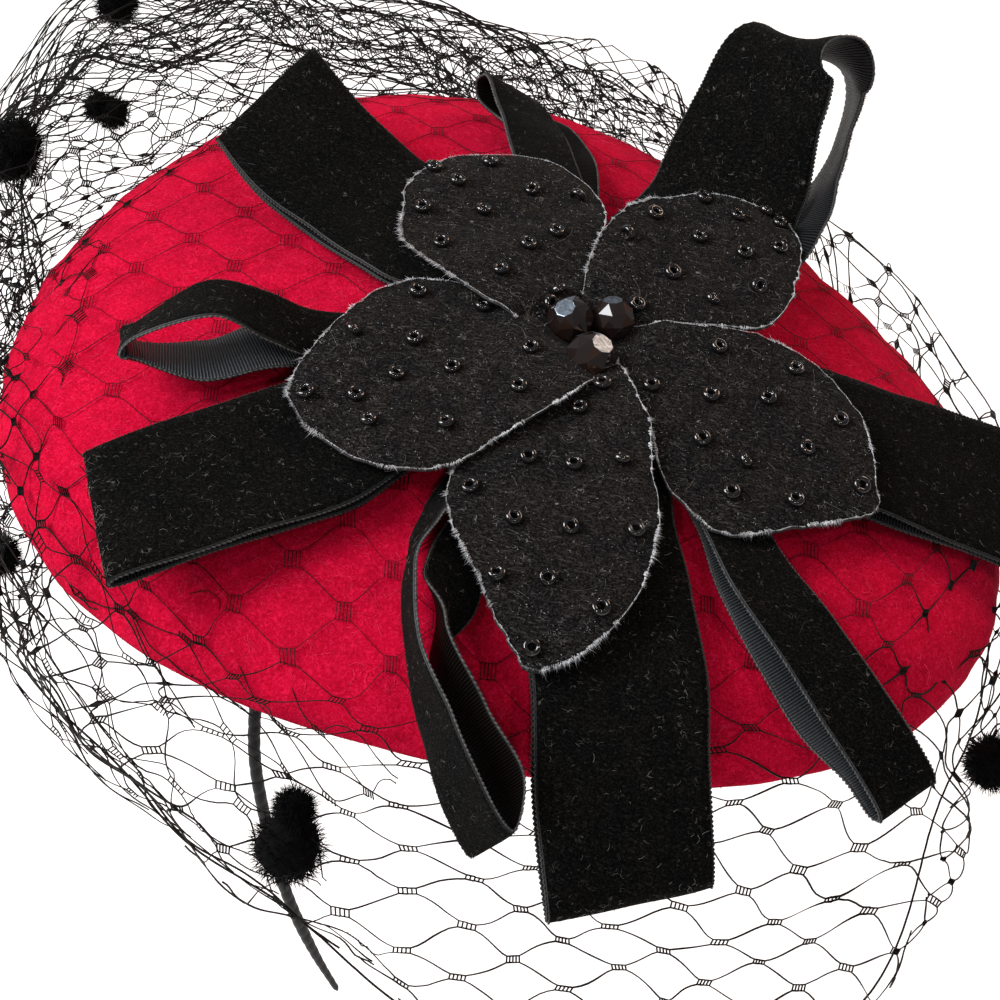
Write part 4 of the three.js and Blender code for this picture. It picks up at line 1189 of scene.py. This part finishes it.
# A seed bead on a petal, lying nearly flat; a few have toppled.
def ringBead(form, out, side, own):
    s = beads
    at = onPetal(form, out, side, 0.5 * flower["wall"] + s["half"] * s["sink"])
    step = 0.5
    outwards = petalPoint(form, out + step, side, 0) - petalPoint(form, out - step, side, 0)
    sideways = petalPoint(form, out, side + step, 0) - petalPoint(form, out, side - step, 0)
    lean = math.radians(s["tilt"]) if own.uniform() > s["toppled"] else s["toppledTilt"]
    normal = unit(unit(np.cross(outwards, sideways)) + own.normal(0, lean, 3))
    size = own.uniform(*s["sizes"])
    x = unit(np.cross(normal, [0.3, 0.9, 0.1]))
    y = np.cross(normal, x)
    a = anglesOf(s["around"])[:, None]
    b = anglesOf(s["section"])[None]
    flat = size * (s["ring"] + s["wall"] * np.cos(b))
    points = at + (flat * np.cos(a))[..., None] * x + (flat * np.sin(a))[..., None] * y
    points = points + (size * s["half"] * np.sin(b) + 0 * a)[..., None] * normal
    index = np.arange(flat.size * s["around"]).reshape(s["around"], -1)
    after = np.roll(index, -1, 0)
    quads = np.stack([index, after, np.roll(after, -1, 1), np.roll(index, -1, 1)], -1).reshape(-1, 4)
    return points.reshape(-1, 3), list(quads)


def makeFlower():
    fray, lint, rings = [], [], []
    for k, (name, form) in enumerate(petals.items()):
        frayed, fluff, sewnOn = makePetal(name, form, 200 + k)
        fray.append(frayed)
        lint.append(fluff)
        rings += sewnOn
    for name, parts, look, slot in (("petal_fray", fray, "fray", "flower_velvet"),
                                    ("petal_lint", lint, "lint", "flower_velvet"),
                                    ("seed_beads", rings, "bead", "seed_bead")):
        piece = makeMesh(name, *joined(parts), [looks[look]])
        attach(piece, "root")
    print("seed beads:", len(rings))


makeFlower()
print("flower made")

# Three faceted crystals; bright: the two facets that shine, counted round each band; the first has a coat
# and a painted glint, the second a painted brown reflection.
crystals = {
    "crystal_1": {"radius": 3.8, "turn": 0.2, "tip": (0.35, -0.35), "bright": (3, 10)},
    "crystal_2": {"radius": 3.6, "turn": 0.55, "tip": (-0.3, -0.2), "bright": (4, 12)},
    "crystal_3": {"radius": 4.2, "turn": 0.05, "tip": (0.1, 0.3), "bright": (5, 11)},
}
facets = {"sunk": 1.1, "around": 8, "bevel": 0.09,
          "heights": (-0.9, -0.5, 0.0, 0.5, 0.9), "reach": (0.42, 0.82, 1.0, 0.82, 0.42)}


def makeCrystal(name, form):
    s = facets
    low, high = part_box(name)
    centre = (np.array(low) + np.array(high)) / 2 / mm
    n = s["around"]
    rings = []
    for k, (height, reach) in enumerate(zip(s["heights"], s["reach"])):
        az = 2 * math.pi * (np.arange(n) + 0.5 * (k % 2) + form["turn"]) / n
        rings.append(polar(az, form["radius"] * reach, form["radius"] * height))
    points = np.concatenate(rings)
    tipX, tipY = form["tip"]
    tilt = np.array(Matrix.Rotation(tipX, 3, "X") @ Matrix.Rotation(tipY, 3, "Y"))
    points = points @ tilt.T + centre - np.array([0, 0, s["sunk"]])
    faces = []
    for k in range(len(rings) - 1):
        for j in range(n):
            i = (j + 1) % n
            a, b, c, d = k * n + j, k * n + i, (k + 1) * n + j, (k + 1) * n + i
            if k % 2 == 0:
                faces += [(a, b, c), (b, d, c)]
            else:
                faces += [(a, b, d), (a, d, c)]
    # the first facet, with its coat and painted glint, also covers the top; the second is a painted brown
    # reflection
    upper, every = form["bright"]   # the first shines in the upper bands, the second in all
    tones = []
    for k in range(len(faces)):
        spot = k % (2 * n)
        tones.append(1 if spot == upper and k > 3 * n else 2 if spot == every else 0)
    faces += [tuple(range(n))[::-1], tuple(range(4 * n, 5 * n))]
    tones += [0, 1]
    stone = makeMesh("faceted_" + name, points, faces,
                     [looks["jet"], looks["coatAndGlint"], looks["paintedBrownReflection"]], tones, isSmooth=False)
    bevel = stone.modifiers.new("softEdges", "BEVEL")
    bevel.width = s["bevel"] * mm
    bevel.segments = 2
    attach(stone, "root")
    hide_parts(name)


for name, form in crystals.items():
    makeCrystal(name, form)
print("crystals made")

# Chenille dots on the net. balls: place in the dot's box (-1 to 1 each way) and radius;
# tuft: place, radius and number of the paler ends on top.
yarn = {
    "rows": 10, "around": 16, "core": 0.72, "uneven": 0.1, "from": (0.5, 0.82), "spread": 0.5,
    "radius": 0.085, "longEnds": 0.08, "longer": 1.5,
    "tuftFrom": (0.1, 0.5), "tuftSpread": 0.2, "tuftLength": (0.5, 0.9), "tuftRadius": 0.07,
}
dots = {
    "chenille_dot_1": {"balls": [((0, 0, -0.42), 6.3), ((0.0, 0.1, 0.62), 3.1)], "tuft": None,
                       "fibres": 4200, "length": (0.7, 2.2)},
    "chenille_dot_2": {"balls": [((0, 0, 0), 5.0)], "tuft": None, "fibres": 2400,
                       "length": (0.7, 1.9)},
    "chenille_dot_3": {"balls": [((0, 0, -0.2), 3.4)], "tuft": ((0, 0, 0.4), 2.2, 300),
                       "fibres": 1500, "length": (0.6, 1.6)},
    "chenille_dot_4": {"balls": [((0, 0, -0.2), 5.2), ((0.1, 0, 0.35), 4.1)], "tuft": None,
                       "fibres": 2400, "length": (0.9, 3.2)},
    "chenille_dot_5": {"balls": [((0.3, 0, 0), 3.3), ((-0.35, 0.1, 0.1), 2.9)], "tuft": None,
                       "fibres": 1700, "length": (0.6, 1.7)},
    "chenille_dot_6": {"balls": [((0, 0, 0), 4.2)], "tuft": None, "fibres": 2000,
                       "length": (0.7, 2.0)},
}


def makeDot(name, form, seed):
    s = yarn
    own = np.random.default_rng(seed)
    low, high = (np.array(v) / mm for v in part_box(name))
    centre, size = (low + high) / 2, (high - low) / 2
    down = np.linspace(0.05, math.pi - 0.05, s["rows"])[:, None]
    az = anglesOf(s["around"])[None]
    ball = polar(az, np.sin(down), np.cos(down))
    uneven = (1 + s["uneven"] * ripple(ball * 10, 6, seed))[..., None]
    count = form["fibres"] // len(form["balls"])
    parts = []
    for place, radius in form["balls"]:
        at = centre + size * np.array(place)
        core = at + ball * radius * s["core"] * uneven
        parts.append((core.reshape(-1, 3), skinFaces(s["rows"], s["around"])))
        way = unit(own.normal(size=(count, 3)))
        roots = at + way * radius * own.uniform(*s["from"], (count, 1))
        lean = way + own.normal(0, s["spread"], way.shape)
        length = own.uniform(*form["length"], count)
        length = np.where(own.uniform(size=count) < s["longEnds"], length * s["longer"], length)
        parts.append(hairs(roots, lean, length, s["radius"]))
    slots = [0] * sum(len(f) for _, f in parts)
    if form["tuft"]:
        place, radius, count = form["tuft"]
        at = centre + size * np.array(place)
        way = unit(own.normal(size=(count, 3)) + np.array([0, 0, 0.9]))
        roots = at + way * radius * own.uniform(*s["tuftFrom"], (count, 1))
        ways = way + own.normal(0, s["tuftSpread"], way.shape)
        parts.append(hairs(roots, ways, radius * own.uniform(*s["tuftLength"], count), s["tuftRadius"]))
        slots += [1] * len(parts[-1][1])
    dot = makeMesh(name + "_tuft", *joined(parts), [looks["chenille"], looks["tuft"]], slots)
    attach(dot, "root")
    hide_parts(name)


for k, (name, form) in enumerate(dots.items()):
    makeDot(name, form, 400 + k)
print("chenille dots made")

# Floor, light and camera, in metres; key, fill and glint are a lamp's size, power and colour.
studio = {
    "floorHeight": -0.34, "floorSize": 40,
    "key": (0.7, 20.5, (0.97, 0.98, 1.0)), "keyFrom": (-1.02, -0.22, 0.72),
    "fill": (0.45, 4.4, (1.0, 0.68, 0.48)), "fillFrom": (0.65, 0.8, 0.6),
    "glint": (0.05, 0.9, (1.0, 0.95, 0.9)),
    "glints": [(-0.35, -0.5, 0.75), (0.45, -0.35, 0.8), (-0.15, 0.35, 0.9), (0.1, -0.75, 0.5)],
    "sky": (0.95, 0.96, 1.0), "skyPower": 0.17,
    "viewDown": 45, "roll": 12, "distance": 0.380, "aim": (0.00315, -0.0168, -0.0150), "lens": 88.9,
}


def softbox(name, place, size, power, colour):
    lamp = bpy.data.lights.new(name, "AREA")
    lamp.shape = "SQUARE"
    lamp.size = size
    lamp.energy = power
    lamp.color = colour
    holder = bpy.data.objects.new(name, lamp)
    holder.location = place
    holder.rotation_euler = (-Vector(place)).to_track_quat("-Z", "Y").to_euler()
    bpy.context.scene.collection.objects.link(holder)


def makeStudio():
    s = studio
    half, z = s["floorSize"] / 2, s["floorHeight"]
    corners = np.array([(-half, -half, z), (half, -half, z), (half, half, z), (-half, half, z)]) / mm
    floor = makeMesh("studio_floor", corners, [(0, 1, 2, 3)], [looks["floor"]])
    softbox("key", s["keyFrom"], *s["key"])
    softbox("fill", s["fillFrom"], *s["fill"])
    for k, place in enumerate(s["glints"]):
        softbox("glint_" + str(k), place, *s["glint"])
    world = bpy.data.worlds.new("paleStudio")
    world.use_nodes = True
    sky = world.node_tree.nodes["Background"]
    sky.inputs["Color"].default_value = (*s["sky"], 1)
    sky.inputs["Strength"].default_value = s["skyPower"]
    bpy.context.scene.world = world

    down, roll = math.radians(s["viewDown"]), math.radians(s["roll"])
    back = Vector((0, -math.cos(down), math.sin(down)))
    right, up = Vector((1, 0, 0)), Vector((0, math.sin(down), math.cos(down)))
    camX = math.cos(roll) * right + math.sin(roll) * up
    camY = -math.sin(roll) * right + math.cos(roll) * up
    lens = bpy.data.cameras.new("camera")
    lens.lens = s["lens"]
    lens.sensor_width = 36
    lens.clip_start, lens.clip_end = 0.01, 20
    camera = bpy.data.objects.new("camera", lens)
    camera.matrix_world = Matrix.Translation(Vector(s["aim"]) + s["distance"] * back) @ Matrix(
        (camX, camY, back)).transposed().to_4x4()
    bpy.context.scene.collection.objects.link(camera)
    bpy.context.scene.camera = camera
    bpy.context.scene.view_settings.view_transform = "Standard"


makeStudio()
print("studio made")
